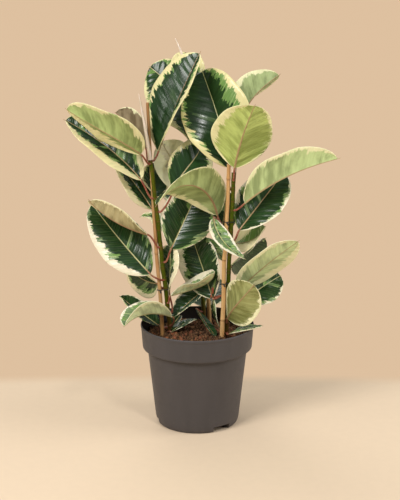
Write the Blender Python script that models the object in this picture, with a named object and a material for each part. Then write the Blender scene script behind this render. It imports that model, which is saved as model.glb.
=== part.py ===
"""Potted rubber plant: three staked stems of variegated Ficus elastica in a plastic nursery pot.

Metres, +Z up. The origin is the centre of the pot's underside and the front is -Y.
Headings are degrees seen from above: 0 is +X, 90 is away from the front (+Y).
"""
import math

import bmesh
import bpy
from mathutils import Vector

GAP = 0.0003                 # clearance between pieces that touch

# ---- pot and potting soil -------------------------------------------------------------------
POT_HEIGHT = 0.190
RIM_RADIUS = 0.105
BAND_HEIGHT = 0.044          # the wide band under the rim
BAND_BOTTOM_RADIUS = 0.1015
BODY_TOP_RADIUS = 0.0925
FOOT_RADIUS = 0.0765
FOOT_ROUND = 0.006
FOOT_FILLET = 0.0015
FLOOR_TOP = 0.012            # height of the pot's inner floor
LIP = 0.0025                 # height of the rounded lips of the band
RIM_ROUND = 0.001
WALL = 0.0022
POT_SIDES = 48
NOTCH_HEADINGS = (307, 67, 187)
NOTCH_WIDTH = 0.036
NOTCH_HEIGHT = 0.009
NOTCH_DEPTH = 0.012
DRAIN_RADIUS = 0.0045
DRAIN_CIRCLE = 0.0695
DRAIN_SIDES = 12
CUTTER_REACH = 0.003         # how far a notch's cutter passes the face that it cuts
SOIL_TOP = 0.168
SOIL_CROWN = 0.003           # the soil is heaped a little towards the middle
SOIL_HEAP = ((0.060, 0.0005), (0.020, 0.0))   # radius of each ring of the heap, drop from its top
SOIL_EASE = 0.0002           # extra room between the flat-sided soil and the pot's taper
SOIL_TOP_EASE = 0.0012
SOCKET_TOP = 0.200           # each socket's cutter comes out above the soil at this height

# ---- stems, canes, ties and growing tips ----------------------------------------------------
STEM_RADIUS = 0.0042
STEM_TAPER = 0.85            # radius at the top of a stem, as a share of that at its foot
ROUND_SIDES = 12             # sides of a stem, cane or socket
STEM_PATHS = {
    "left": [(-0.051, 0.014, 0.120), (-0.051, 0.014, 0.172), (-0.0545, 0.009, 0.212),
             (-0.058, 0.005, 0.252), (-0.063, 0.004, 0.291), (-0.0665, 0.002, 0.330),
             (-0.070, -0.001, 0.368), (-0.073, -0.006, 0.403), (-0.0765, -0.009, 0.430),
             (-0.080, -0.010, 0.472), (-0.0845, -0.010, 0.500)],
    "right": [(0.054, -0.008, 0.120), (0.054, -0.008, 0.179), (0.055, -0.011, 0.238),
              (0.057, -0.014, 0.278), (0.058, -0.016, 0.316), (0.060, -0.016, 0.344),
              (0.062, -0.018, 0.391), (0.064, -0.018, 0.429), (0.065, -0.020, 0.480)],
    "back": [(0.013, 0.056, 0.120), (0.0125, 0.056, 0.182), (0.009, 0.059, 0.237),
             (0.003, 0.064, 0.335), (-0.004, 0.069, 0.430), (-0.010, 0.073, 0.505),
             (-0.013, 0.077, 0.579), (-0.016, 0.080, 0.625)],
}
CANE_RADIUS = {"left": (0.0038, 0.0028), "right": (0.0043, 0.0033), "back": (0.0040, 0.0030)}
CANE_PATHS = {
    "left": [(-0.064, 0.0, 0.060), (-0.065, 0.0, 0.172), (-0.069, 0.0, 0.254),
             (-0.074, 0.0, 0.311), (-0.077, 0.001, 0.368), (-0.080, 0.001, 0.419),
             (-0.0885, 0.0, 0.602)],
    "right": [(0.045, -0.020, 0.060), (0.0455, -0.020, 0.168), (0.048, -0.020, 0.241),
              (0.0488, -0.020, 0.313), (0.0518, -0.020, 0.345), (0.0530, -0.020, 0.392),
              (0.055, -0.020, 0.429), (0.0565, -0.020, 0.495)],
    "back": [(0.024, 0.060, 0.060), (0.023, 0.060, 0.180), (0.019, 0.063, 0.237),
             (0.013, 0.067, 0.335), (0.006, 0.072, 0.430), (0.000, 0.076, 0.505),
             (-0.001, 0.079, 0.560)],
}
TIE_HEIGHTS = {"left": (0.254,), "right": (0.272, 0.388), "back": (0.290, 0.440)}
TIE_THICK = 0.0018
TIE_EASE = 0.0003            # extra room inside a tie for the flat sides of stem and cane
TIE_POINTS = 20
SHEATH_RADIUS = 0.0030
SHEATH_TIP_RADIUS = 0.0006
SHEATH_SIDES = 8
SHEATH_PATHS = {
    "left": [(-0.0870, -0.0100, 0.522), (-0.0925, -0.0100, 0.558), (-0.0985, -0.0100, 0.592),
             (-0.1035, -0.0100, 0.620)],
    "right": [(0.0660, -0.0210, 0.500), (0.0665, -0.0225, 0.530)],
    "back": [(-0.0200, 0.0820, 0.650), (-0.0290, 0.0830, 0.680), (-0.0400, 0.0830, 0.706)],
}

# ---- leaves ---------------------------------------------------------------------------------
BLADE_THICK = 0.0010
PETIOLE_RADIUS = 0.0017
PETIOLE_FLATNESS = 0.6       # height of the petiole's shoulders, as a share of its radius
TIP_RADIUS = 0.0007
KEEL = 0.0014                # the midrib stands out under the blade by this much at its base
KEEL_TAPER = 0.5             # share of the keel that is gone at the tip
BLADE_SHAPE = (0.92, 0.72)   # below 1: widest point nearer the base, and fuller shoulders
# Faces of a leaf's top and underside are split the same way, mirrored at the midrib, so that a
# twisted blade keeps its thickness.
LEAF_DIAGONALS = (0, 1, 0, 0, 1, 0)
PETIOLE_STEPS = 4
BLADE_STEPS = 9
SOCKET_STEP = 0.0025         # the petiole leaves the stem level for this far, then bends
# Each leaf: its stem; height of its joint on the stem; heading at the stem, at the blade's base
# and at its tip; petiole length; rise above level at the same three places; blade length and
# width; fold of each half above flat; roll about the midrib (right side down) at the blade's
# base, and its change along the blade. Millimetres and degrees.
LEAF_FIELDS = ("stem", "height", "headings", "petiole", "rises", "length", "width",
               "fold", "roll", "twist")
LEAVES = {
    "leaf_left_01": ("left", 499, (132, 130, 158), 22, (108, 46, 34), 90, 72, 32, 52, 0),
    "leaf_left_02": ("left", 498, (36, 14, 18), 20, (46, 70, 62), 188, 124, 24, 6, 14),
    "leaf_left_03": ("left", 494, (246, 222, 150), 32, (50, 36, 26), 160, 108, 12, 24, 26),
    "leaf_left_04": ("left", 430, (220, 150, 192), 40, (74, 44, 30), 174, 92, 16, -20, -20),
    "leaf_left_05": ("left", 416, (74, 110, 74), 16, (86, 16, 66), 80, 60, 16, 28, 4),
    "leaf_left_06": ("left", 404, (-14, -12, 96), 48, (50, 66, 10), 116, 74, 10, 40, 12),
    "leaf_left_07": ("left", 386, (96, 150, 164), 26, (18, 54, 44), 110, 76, 14, -24, 8),
    "leaf_left_08": ("left", 343, (134, 60, 174), 14, (54, 40, -10), 84, 32, 22, -8, -4),
    "leaf_left_09": ("left", 336, (246, 180, 210), 38, (82, 16, 50), 128, 78, 22, 8, 20),
    "leaf_left_10": ("left", 307, (-30, 38, 26), 28, (74, 58, 62), 126, 100, 18, 66, -4),
    "leaf_left_11": ("left", 273, (242, 162, 164), 30, (14, 44, 52), 166, 98, 0, -46, 8),
    "leaf_left_12": ("left", 256, (172, 132, 162), 14, (82, -12, 44), 72, 76, 12, -110, -8),
    "leaf_left_13": ("left", 228, (-114, 28, -84), 20, (112, 6, 50), 120, 50, 42, -32, 90),
    "leaf_left_14": ("left", 207, (10, 0, 12), 44, (108, 72, 102), 88, 66, 16, -30, 4),
    "leaf_left_15": ("left", 182, (348, 190, 236), 52, (36, 24, -24), 106, 64, 44, 8, 14),
    "leaf_left_16": ("left", 176, (166, 160, 176), 14, (-16, 30, 40), 92, 54, 16, -14, 4),
    "leaf_left_17": ("left", 173, (98, 42, 50), 10, (-16, 32, 34), 28, 36, 24, 0, 0),
    "leaf_left_18": ("left", 171, (-110, 16, 2), 10, (-18, 34, 16), 52, 32, 10, 0, -2),
    "leaf_right_01": ("right", 466, (-92, -66, -50), 28, (68, 68, 58), 134, 112, 14, -28, 2),
    "leaf_right_02": ("right", 452, (72, 90, -6), 66, (76, 64, 34), 170, 92, 42, -62, -6),
    "leaf_right_03": ("right", 447, (134, 150, 114), 40, (82, 84, 46), 184, 130, 20, -50, 6),
    "leaf_right_04": ("right", 410, (-18, -18, -2), 22, (38, 42, 14), 188, 96, 36, -30, -10),
    "leaf_right_05": ("right", 370, (-340, -84, 2), 80, (100, -50, -30), 102, 38, 14, 2, 14),
    "leaf_right_06": ("right", 363, (96, 224, 226), 48, (8, 76, -42), 190, 90, 10, 62, -32),
    "leaf_right_07": ("right", 353, (-22, 24, 42), 22, (80, 48, 40), 136, 92, 14, 32, 8),
    "leaf_right_08": ("right", 331, (154, -10, -14), 68, (6, -2, 64), 72, 84, 16, 32, -14),
    "leaf_right_09": ("right", 298, (78, 66, 8), 10, (-4, 14, 36), 94, 86, 20, 120, 12),
    "leaf_right_10": ("right", 250, (188, 124, 154), 40, (-112, 60, 68), 132, 92, 12, -72, -12),
    "leaf_right_11": ("right", 244, (134, 180, 166), 30, (44, -86, -118), 56, 32, 2, -20, -4),
    "leaf_right_12": ("right", 238, (-14, -26, -18), 20, (66, 48, 38), 158, 90, 0, -22, -22),
    "leaf_right_13": ("right", 234, (-30, 22, 28), 20, (-32, 32, 22), 92, 78, 12, 34, 10),
    "leaf_right_14": ("right", 196, (-92, -78, -20), 20, (42, 42, 52), 108, 84, 14, -80, -2),
    "leaf_right_15": ("right", 175, (-100, -30, 18), 16, (-14, 36, -4), 66, 36, 0, 6, -16),
    "leaf_back_01": ("back", 593, (112, 104, 84), 14, (62, 100, 40), 76, 74, 32, -2, -2),
    "leaf_back_02": ("back", 534, (52, 52, 76), 44, (38, 24, 20), 120, 66, 22, -2, 0),
    "leaf_back_03": ("back", 470, (56, 56, 60), 24, (60, 40, 10), 140, 76, 24, 0, 0),
    "leaf_back_04": ("back", 449, (124, 202, 144), 68, (74, 94, 26), 164, 122, 8, -30, -30),
    "leaf_back_05": ("back", 418, (142, 248, 184), 32, (80, 42, 64), 100, 90, 0, 98, 14),
    "leaf_back_06": ("back", 312, (-22, 50, 80), 45, (10, 66, 84), 86, 60, 10, 0, 0),
    "leaf_back_07": ("back", 345, (130, 124, 116), 22, (60, 40, 0), 140, 76, 20, 0, 0),
    "leaf_back_08": ("back", 196, (84, 84, 80), 14, (0, 0, 26), 118, 86, 6, 0, 0),
    "leaf_back_09": ("back", 343, (-60, -44, -36), 12, (10, -30, -48), 58, 36, 10, 0, 0),
    "leaf_back_10": ("back", 245, (300, 224, 190), 14, (-22, -22, -48), 74, 56, 22, -6, 2),
    "leaf_back_11": ("back", 195, (-172, -60, -58), 30, (74, -28, -26), 76, 28, 14, -30, 6),
}


def heading_vector(heading, rise):
    """Unit vector at a heading and a rise above level, both in degrees."""
    h, r = math.radians(heading), math.radians(rise)
    return Vector((math.cos(h) * math.cos(r), math.sin(h) * math.cos(r), math.sin(r)))


def between(values, part, t):
    """Value part-way from one of three given values to the next."""
    return values[part] + (values[part + 1] - values[part]) * t


def path_point(path, height):
    """Point of a rising path at a height, between its own points."""
    for low, high in zip(path, path[1:]):
        if height <= high[2] or high is path[-1]:
            t = (height - low[2]) / (high[2] - low[2])
            return Vector(low).lerp(Vector(high), t)


def material(name, color, roughness):
    """A plain Principled BSDF material."""
    mat = bpy.data.materials.get(name) or bpy.data.materials.new(name)
    mat.use_nodes = True
    shader = mat.node_tree.nodes["Principled BSDF"]
    shader.inputs["Base Color"].default_value = (*color, 1)
    shader.inputs["Roughness"].default_value = roughness
    shader.inputs["Metallic"].default_value = 0
    return mat


def add_rings(bm, rings, closed=False, diagonals=None):
    """Skin rings of equal length into a tube; open tubes get end caps.

    diagonals says for each strip of faces which way its faces are split into triangles.
    """
    loops = [[bm.verts.new(point) for point in ring] for ring in rings]
    pairs = list(zip(loops, loops[1:]))
    if closed:
        pairs.append((loops[-1], loops[0]))
    else:
        bm.faces.new(loops[0])
        bm.faces.new(loops[-1])
    count = len(rings[0])
    for first, second in pairs:
        for i in range(count):
            j = (i + 1) % count
            a, b, c, d = first[i], first[j], second[j], second[i]
            if diagonals is None:
                bm.faces.new((a, b, c, d))
            elif diagonals[i]:
                bm.faces.new((a, b, d))
                bm.faces.new((b, c, d))
            else:
                bm.faces.new((a, b, c))
                bm.faces.new((a, c, d))


def make_object(name, bm, mat):
    """Turn a bmesh into a named object with outward faces and its own material."""
    bmesh.ops.recalc_face_normals(bm, faces=bm.faces)
    mesh = bpy.data.meshes.new(name)
    bm.to_mesh(mesh)
    bm.free()
    mesh.materials.append(mat)
    obj = bpy.data.objects.new(name, mesh)
    bpy.context.collection.objects.link(obj)
    return obj


def circle_ring(centre, axis, radius, sides, start=Vector((0, -1, 0))):
    """Ring of points around an axis, its first point towards start."""
    axis = axis.normalized()
    first = (start - axis * start.dot(axis)).normalized()
    second = axis.cross(first)
    turns = [2 * math.pi * i / sides for i in range(sides)]
    return [centre + radius * (math.cos(t) * first + math.sin(t) * second) for t in turns]


def tube_rings(path, radii, sides):
    """Rings along a path, radii running evenly from the first to the last."""
    points = [Vector(p) for p in path]
    last = len(points) - 1
    rings = []
    for i, point in enumerate(points):
        axis = points[min(i + 1, last)] - points[max(i - 1, 0)]
        radius = radii[0] + (radii[1] - radii[0]) * i / last
        rings.append(circle_ring(point, axis, radius, sides))
    return rings


def make_tube(name, path, radii, mat, sides=ROUND_SIDES):
    """Tube along a path with flat ends."""
    bm = bmesh.new()
    add_rings(bm, tube_rings(path, radii, sides))
    return make_object(name, bm, mat)


def cut(target, cutter):
    """Subtract a cutter object from a target and remove the cutter."""
    boolean = target.modifiers.new("cut", "BOOLEAN")
    boolean.operation = "DIFFERENCE"
    boolean.object = cutter
    depsgraph = bpy.context.evaluated_depsgraph_get()
    mesh = bpy.data.meshes.new_from_object(target.evaluated_get(depsgraph))
    target.modifiers.clear()
    target.data = mesh
    bpy.data.objects.remove(cutter)


def revolve(name, profile, mat):
    """Solid of revolution about Z; the profile's first and last rings are closed by flat faces."""
    bm = bmesh.new()
    rings = []
    for radius, z in profile:
        rings.append(circle_ring(Vector((0, 0, z)), Vector((0, 0, 1)), radius, POT_SIDES))
    add_rings(bm, rings)
    return make_object(name, bm, mat)


def pot_outer_radius(z):
    """Outer radius of the tapering pot body under the band."""
    t = z / (POT_HEIGHT - BAND_HEIGHT)
    return FOOT_RADIUS + (BODY_TOP_RADIUS - FOOT_RADIUS) * t


def make_pot(mat):
    """Thin-walled pot with a band under the rim, three notches in the foot and a hole in each."""
    band_z = POT_HEIGHT - BAND_HEIGHT
    profile = [(FOOT_RADIUS - FOOT_ROUND, 0),
               (FOOT_RADIUS - FOOT_FILLET, LIP),
               (pot_outer_radius(FOOT_ROUND), FOOT_ROUND),
               (BODY_TOP_RADIUS, band_z),
               (BAND_BOTTOM_RADIUS - FOOT_FILLET, band_z + RIM_ROUND / 2),
               (BAND_BOTTOM_RADIUS, band_z + LIP),
               (RIM_RADIUS, POT_HEIGHT - LIP),
               (RIM_RADIUS - RIM_ROUND, POT_HEIGHT),
               (RIM_RADIUS - WALL, POT_HEIGHT),
               (BAND_BOTTOM_RADIUS - WALL, band_z + LIP + WALL),
               (BODY_TOP_RADIUS - WALL, band_z),
               (pot_outer_radius(FLOOR_TOP) - WALL, FLOOR_TOP)]
    pot = revolve("pot", profile, mat)
    for heading in NOTCH_HEADINGS:
        out = heading_vector(heading, 0)
        notch_centre = out * (FOOT_RADIUS - NOTCH_DEPTH / 2 + CUTTER_REACH)
        bpy.ops.mesh.primitive_cube_add(size=1, location=notch_centre)
        notch = bpy.context.object
        notch.rotation_euler = (0, 0, math.radians(heading))
        notch.scale = (NOTCH_DEPTH + 2 * CUTTER_REACH, NOTCH_WIDTH, 2 * NOTCH_HEIGHT)
        bpy.context.view_layer.update()
        cut(pot, notch)
        bpy.ops.mesh.primitive_cylinder_add(vertices=DRAIN_SIDES, radius=DRAIN_RADIUS,
                                            depth=4 * FLOOR_TOP, location=out * DRAIN_CIRCLE)
        cut(pot, bpy.context.object)


def make_soil(mat):
    """Root ball and soil: fills the pot and has a blind socket for each stem and cane."""
    floor = FLOOR_TOP + GAP
    band_z = POT_HEIGHT - BAND_HEIGHT
    clear = WALL + GAP
    profile = [(pot_outer_radius(FLOOR_TOP) - clear - SOIL_EASE, floor),
               (BODY_TOP_RADIUS - clear - SOIL_EASE, band_z),
               (BAND_BOTTOM_RADIUS - clear - SOIL_TOP_EASE, SOIL_TOP - SOIL_CROWN)]
    profile += [(radius, SOIL_TOP - drop) for radius, drop in SOIL_HEAP]
    soil = revolve("potting_soil", profile, mat)
    for side in STEM_PATHS:
        stem_radius = STEM_RADIUS + GAP
        cane_radius = max(CANE_RADIUS[side]) + GAP
        for path, radius in ((STEM_PATHS[side], stem_radius), (CANE_PATHS[side], cane_radius)):
            start, top = Vector(path[0]), Vector(path[1])
            start.z -= GAP
            end = start.lerp(top, (SOCKET_TOP - start.z) / (top.z - start.z))
            cut(soil, make_tube("socket", [start, end], (radius, radius), mat))


def leaf_frames(leaf):
    """Stations of petiole and blade: centre, sideways, upward and place u on the blade.

    u runs 0 to 1 along the blade and is negative on the petiole.
    """
    stem = path_point(STEM_PATHS[leaf["stem"]], leaf["height"] / 1000)
    outward = heading_vector(leaf["headings"][0], 0)
    start = stem + outward * (STEM_RADIUS + GAP)
    upright = Vector((0, 0, 1))
    stations = [(start, outward.cross(upright), upright, -1)]
    point = start + outward * SOCKET_STEP
    before = None
    for i in range(PETIOLE_STEPS + BLADE_STEPS + 1):
        u = (i - PETIOLE_STEPS) / BLADE_STEPS
        if u <= 0:
            part, t = 0, i / PETIOLE_STEPS
            roll = leaf["roll"] * t
            step = leaf["petiole"] / 1000 / PETIOLE_STEPS
        else:
            part, t = 1, u
            roll = leaf["roll"] + leaf["twist"] * u
            step = leaf["length"] / 1000 / BLADE_STEPS
        heading = between(leaf["headings"], part, t)
        rise = between(leaf["rises"], part, t)
        along = heading_vector(heading, rise)
        if before is not None:
            point = point + (along + before).normalized() * step
        before = along
        up = heading_vector(heading, rise + 90)
        side = along.cross(up)
        r = math.radians(roll)
        stations.append((point, math.cos(r) * side - math.sin(r) * up,
                         math.cos(r) * up + math.sin(r) * side, u))
    return stations


def blade_half_width(u, width):
    """Half width of the blade at u: an oval, fuller near the base."""
    skew, fullness = BLADE_SHAPE
    return width / 2 * math.sin(math.pi * min(max(u, 0), 1) ** skew) ** fullness


def leaf_rings(leaf):
    """Six-point rings: edge, top of midrib, edge, edge below, keel, edge below."""
    fold = math.radians(leaf["fold"])
    rings = []
    for centre, side, up, u in leaf_frames(leaf):
        half = blade_half_width(u, leaf["width"] / 1000)
        if half < PETIOLE_RADIUS:
            r = PETIOLE_RADIUS if u <= 0 else TIP_RADIUS
            h = r * PETIOLE_FLATNESS
            ring = [(-r, h), (0, r), (r, h), (r, -h), (0, -r), (-r, -h)]
        else:
            x, y = half * math.cos(fold), half * math.sin(fold)
            dx, dy = -BLADE_THICK / 2 * math.sin(fold), BLADE_THICK / 2 * math.cos(fold)
            keel = KEEL * (1 - KEEL_TAPER * u)
            ring = [(-x - dx, y + dy), (0, BLADE_THICK / 2), (x + dx, y + dy),
                    (x - dx, y - dy), (0, -BLADE_THICK / 2 - keel), (-x + dx, y - dy)]
        rings.append([centre + side * a + up * b for a, b in ring])
    return rings


def tie_rings(side, height):
    """Closed loop of square wire around a stem and its cane."""
    stem = path_point(STEM_PATHS[side], height)
    cane = path_point(CANE_PATHS[side], height)
    room = GAP + TIE_THICK / 2 + TIE_EASE
    across = (cane - stem).normalized()
    normal = Vector((0, 0, 1)).cross(across)
    h = TIE_THICK / 2
    section = ((h, h), (h, -h), (-h, -h), (-h, h))
    rings = []
    for i in range(TIE_POINTS):
        t = 2 * math.pi * (i + 0.5) / TIE_POINTS
        direction = across * math.cos(t) + normal * math.sin(t)
        if math.cos(t) > 0:
            point = cane + direction * (max(CANE_RADIUS[side]) + room)
        else:
            point = stem + direction * (STEM_RADIUS + room)
        rings.append([point + direction * a + Vector((0, 0, b)) for a, b in section])
    return rings


def main():
    for obj in list(bpy.data.objects):
        bpy.data.objects.remove(obj)
    plastic = material("pot_plastic", (0.10, 0.083, 0.078), 0.55)
    earth = material("soil", (0.10, 0.055, 0.03), 0.95)
    bark = material("stem_green", (0.13, 0.17, 0.03), 0.5)
    bamboo = material("cane_bamboo", (0.50, 0.30, 0.13), 0.55)
    wire = material("tie_wire", (0.02, 0.02, 0.02), 0.5)
    pink = material("sheath_pink", (0.75, 0.50, 0.42), 0.5)
    green = material("leaf_green", (0.06, 0.13, 0.06), 0.35)
    make_pot(plastic)
    make_soil(earth)
    for side, path in STEM_PATHS.items():
        make_tube(f"stem_{side}", path, (STEM_RADIUS, STEM_RADIUS * STEM_TAPER), bark)
        make_tube(f"cane_{side}", CANE_PATHS[side], CANE_RADIUS[side], bamboo)
        for number, height in enumerate(TIE_HEIGHTS[side], 1):
            bm = bmesh.new()
            add_rings(bm, tie_rings(side, height), closed=True)
            make_object(f"tie_{side}_{number}", bm, wire)
        last, end = Vector(path[-2]), Vector(path[-1])
        foot = end + (end - last).normalized() * GAP
        make_tube(f"bud_sheath_{side}", [foot, *SHEATH_PATHS[side]],
                  (SHEATH_RADIUS, SHEATH_TIP_RADIUS), pink, SHEATH_SIDES)
    for name, values in LEAVES.items():
        bm = bmesh.new()
        add_rings(bm, leaf_rings(dict(zip(LEAF_FIELDS, values))), diagonals=LEAF_DIAGONALS)
        make_object(name, bm, green)


main()
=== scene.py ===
"""Potted rubber plant: leaves, stems, canes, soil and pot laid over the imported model."""
import math

import bpy
import numpy as np
from bpy.props import FloatProperty, FloatVectorProperty, IntProperty, PointerProperty
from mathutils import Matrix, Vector


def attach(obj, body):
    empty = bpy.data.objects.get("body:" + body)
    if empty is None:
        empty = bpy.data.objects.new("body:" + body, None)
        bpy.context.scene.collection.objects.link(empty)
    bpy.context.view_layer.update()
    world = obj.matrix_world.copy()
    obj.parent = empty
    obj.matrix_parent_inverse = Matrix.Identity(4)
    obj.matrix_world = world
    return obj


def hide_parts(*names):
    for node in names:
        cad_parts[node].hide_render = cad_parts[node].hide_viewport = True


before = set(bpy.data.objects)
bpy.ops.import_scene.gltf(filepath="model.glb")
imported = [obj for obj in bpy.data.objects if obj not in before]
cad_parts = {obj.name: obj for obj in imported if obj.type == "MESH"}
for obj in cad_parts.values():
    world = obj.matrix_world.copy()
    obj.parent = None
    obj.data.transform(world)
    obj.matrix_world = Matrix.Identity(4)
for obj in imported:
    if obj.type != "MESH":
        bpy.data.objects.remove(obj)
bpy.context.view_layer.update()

bl_info = {
    "name": "Potted Rubber Plant",
    "version": (1, 0, 0),
    "blender": (4, 5, 0),
    "location": "View3D > Sidebar > Plant",
    "description": "Builds a staked, variegated rubber plant in a nursery pot",
    "category": "Add Mesh",
}

BODY = "root"
GAP = 0.0003
UP = np.array([0.0, 0.0, 1.0])

# ---- pot and soil, metres -------------------------------------------------------------------
BAND_HEIGHT = 0.044
BAND_BOTTOM_RADIUS = 0.1015
BODY_TOP_RADIUS = 0.0925
FOOT_RADIUS = 0.0765
FLOOR_TOP = 0.012
NOTCH_HEADINGS = (307, 67, 187)
NOTCH_WIDTH = 0.036
NOTCH_HEIGHT = 0.0115
NOTCH_DEPTH = 0.024
SOIL_TOP = 0.168
POT_DUST = (0.32, 0.26, 0.20)
# Near-black painted shade for the pot's inner wall and the recesses of its notched foot.
POT_SHADE = (0.012, 0.009, 0.007)

# ---- stems, canes, ties, growing tips -------------------------------------------------------
STEM_RADIUS = 0.0042
STEM_TAPER = 0.85
STEM_PATHS = {
    "left": [(-0.051, 0.014, 0.120), (-0.051, 0.014, 0.172), (-0.0545, 0.009, 0.212),
             (-0.058, 0.005, 0.252), (-0.063, 0.004, 0.291), (-0.0665, 0.002, 0.330),
             (-0.070, -0.001, 0.368), (-0.073, -0.006, 0.403), (-0.0765, -0.009, 0.430),
             (-0.080, -0.010, 0.472), (-0.0845, -0.010, 0.500)],
    "right": [(0.054, -0.008, 0.120), (0.054, -0.008, 0.179), (0.055, -0.011, 0.238),
              (0.057, -0.014, 0.278), (0.058, -0.016, 0.316), (0.060, -0.016, 0.344),
              (0.062, -0.018, 0.391), (0.064, -0.018, 0.429), (0.065, -0.020, 0.480)],
    "back": [(0.013, 0.056, 0.120), (0.0125, 0.056, 0.182), (0.009, 0.059, 0.237),
             (0.003, 0.064, 0.335), (-0.004, 0.069, 0.430), (-0.010, 0.073, 0.505),
             (-0.013, 0.077, 0.579), (-0.016, 0.080, 0.625)],
}
CANE_RADIUS = {"left": (0.0038, 0.0028), "right": (0.0043, 0.0033), "back": (0.0040, 0.0030)}
CANE_PATHS = {
    "left": [(-0.064, 0.0, 0.060), (-0.065, 0.0, 0.172), (-0.069, 0.0, 0.254),
             (-0.074, 0.0, 0.311), (-0.077, 0.001, 0.368), (-0.080, 0.001, 0.419),
             (-0.0885, 0.0, 0.602)],
    "right": [(0.045, -0.020, 0.060), (0.0455, -0.020, 0.168), (0.048, -0.020, 0.241),
              (0.0488, -0.020, 0.313), (0.0518, -0.020, 0.345), (0.0530, -0.020, 0.392),
              (0.055, -0.020, 0.429), (0.0565, -0.020, 0.495)],
    "back": [(0.024, 0.060, 0.060), (0.023, 0.060, 0.180), (0.019, 0.063, 0.237),
             (0.013, 0.067, 0.335), (0.006, 0.072, 0.430), (0.000, 0.076, 0.505),
             (-0.001, 0.079, 0.560)],
}
CANE_NODES = {"left": (0.205, 0.325, 0.460), "right": (0.204, 0.319, 0.469),
              "back": (0.232, 0.352, 0.470)}
TIE_HEIGHTS = {"left": (0.254,), "right": (0.272, 0.388), "back": (0.290, 0.440)}
SHEATH_RADIUS = 0.0030
SHEATH_PATHS = {
    "left": [(-0.0845, -0.010, 0.5003), (-0.0870, -0.0100, 0.522), (-0.0925, -0.0100, 0.558),
             (-0.0985, -0.0100, 0.592), (-0.1035, -0.0100, 0.620)],
    "right": [(0.065, -0.020, 0.4803), (0.0660, -0.0210, 0.500), (0.0665, -0.0225, 0.530)],
    "back": [(-0.016, 0.080, 0.6253), (-0.0200, 0.0820, 0.650), (-0.0290, 0.0830, 0.680),
             (-0.0400, 0.0830, 0.706)],
}
TIE_END = (0.25, -0.9, -0.35)    # where the twisted ends of a tie point
# The side bud's spindle and stalk: points from the petiole, extra radius and where it peaks.
SIDE_BUD = (
    (((0.0100, 0, 0.0290), (0.0030, 0, 0.0240), (0, 0, 0.0160), (0.0018, 0, 0.0070),
      (0.0060, 0.0012, -0.0020)), 0.0019, 0.48),
    (((0.0002, 0, 0.0145), (-0.0030, 0, 0.0080), (-0.0036, 0, 0.0010)), 0.0, 0.5))
LENTICEL = (0.34, 0.26, 0.10)
# Painted shade down a cane's hollow top, darkest at its bottom.
CANE_HOLLOW_SHADE = (0.06, 0.03, 0.015)
SHEATH_STREAK = (0.72, 0.62, 0.42)
SHEATH_TIP = (0.85, 0.72, 0.64)

# ---- leaves ---------------------------------------------------------------------------------
BLADE_THICK = 0.0010
PETIOLE_RADIUS = 0.0017
KEEL = 0.0014
SOCKET_STEP = 0.0025
BLADE_SHAPE = (0.92, 0.72)
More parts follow.
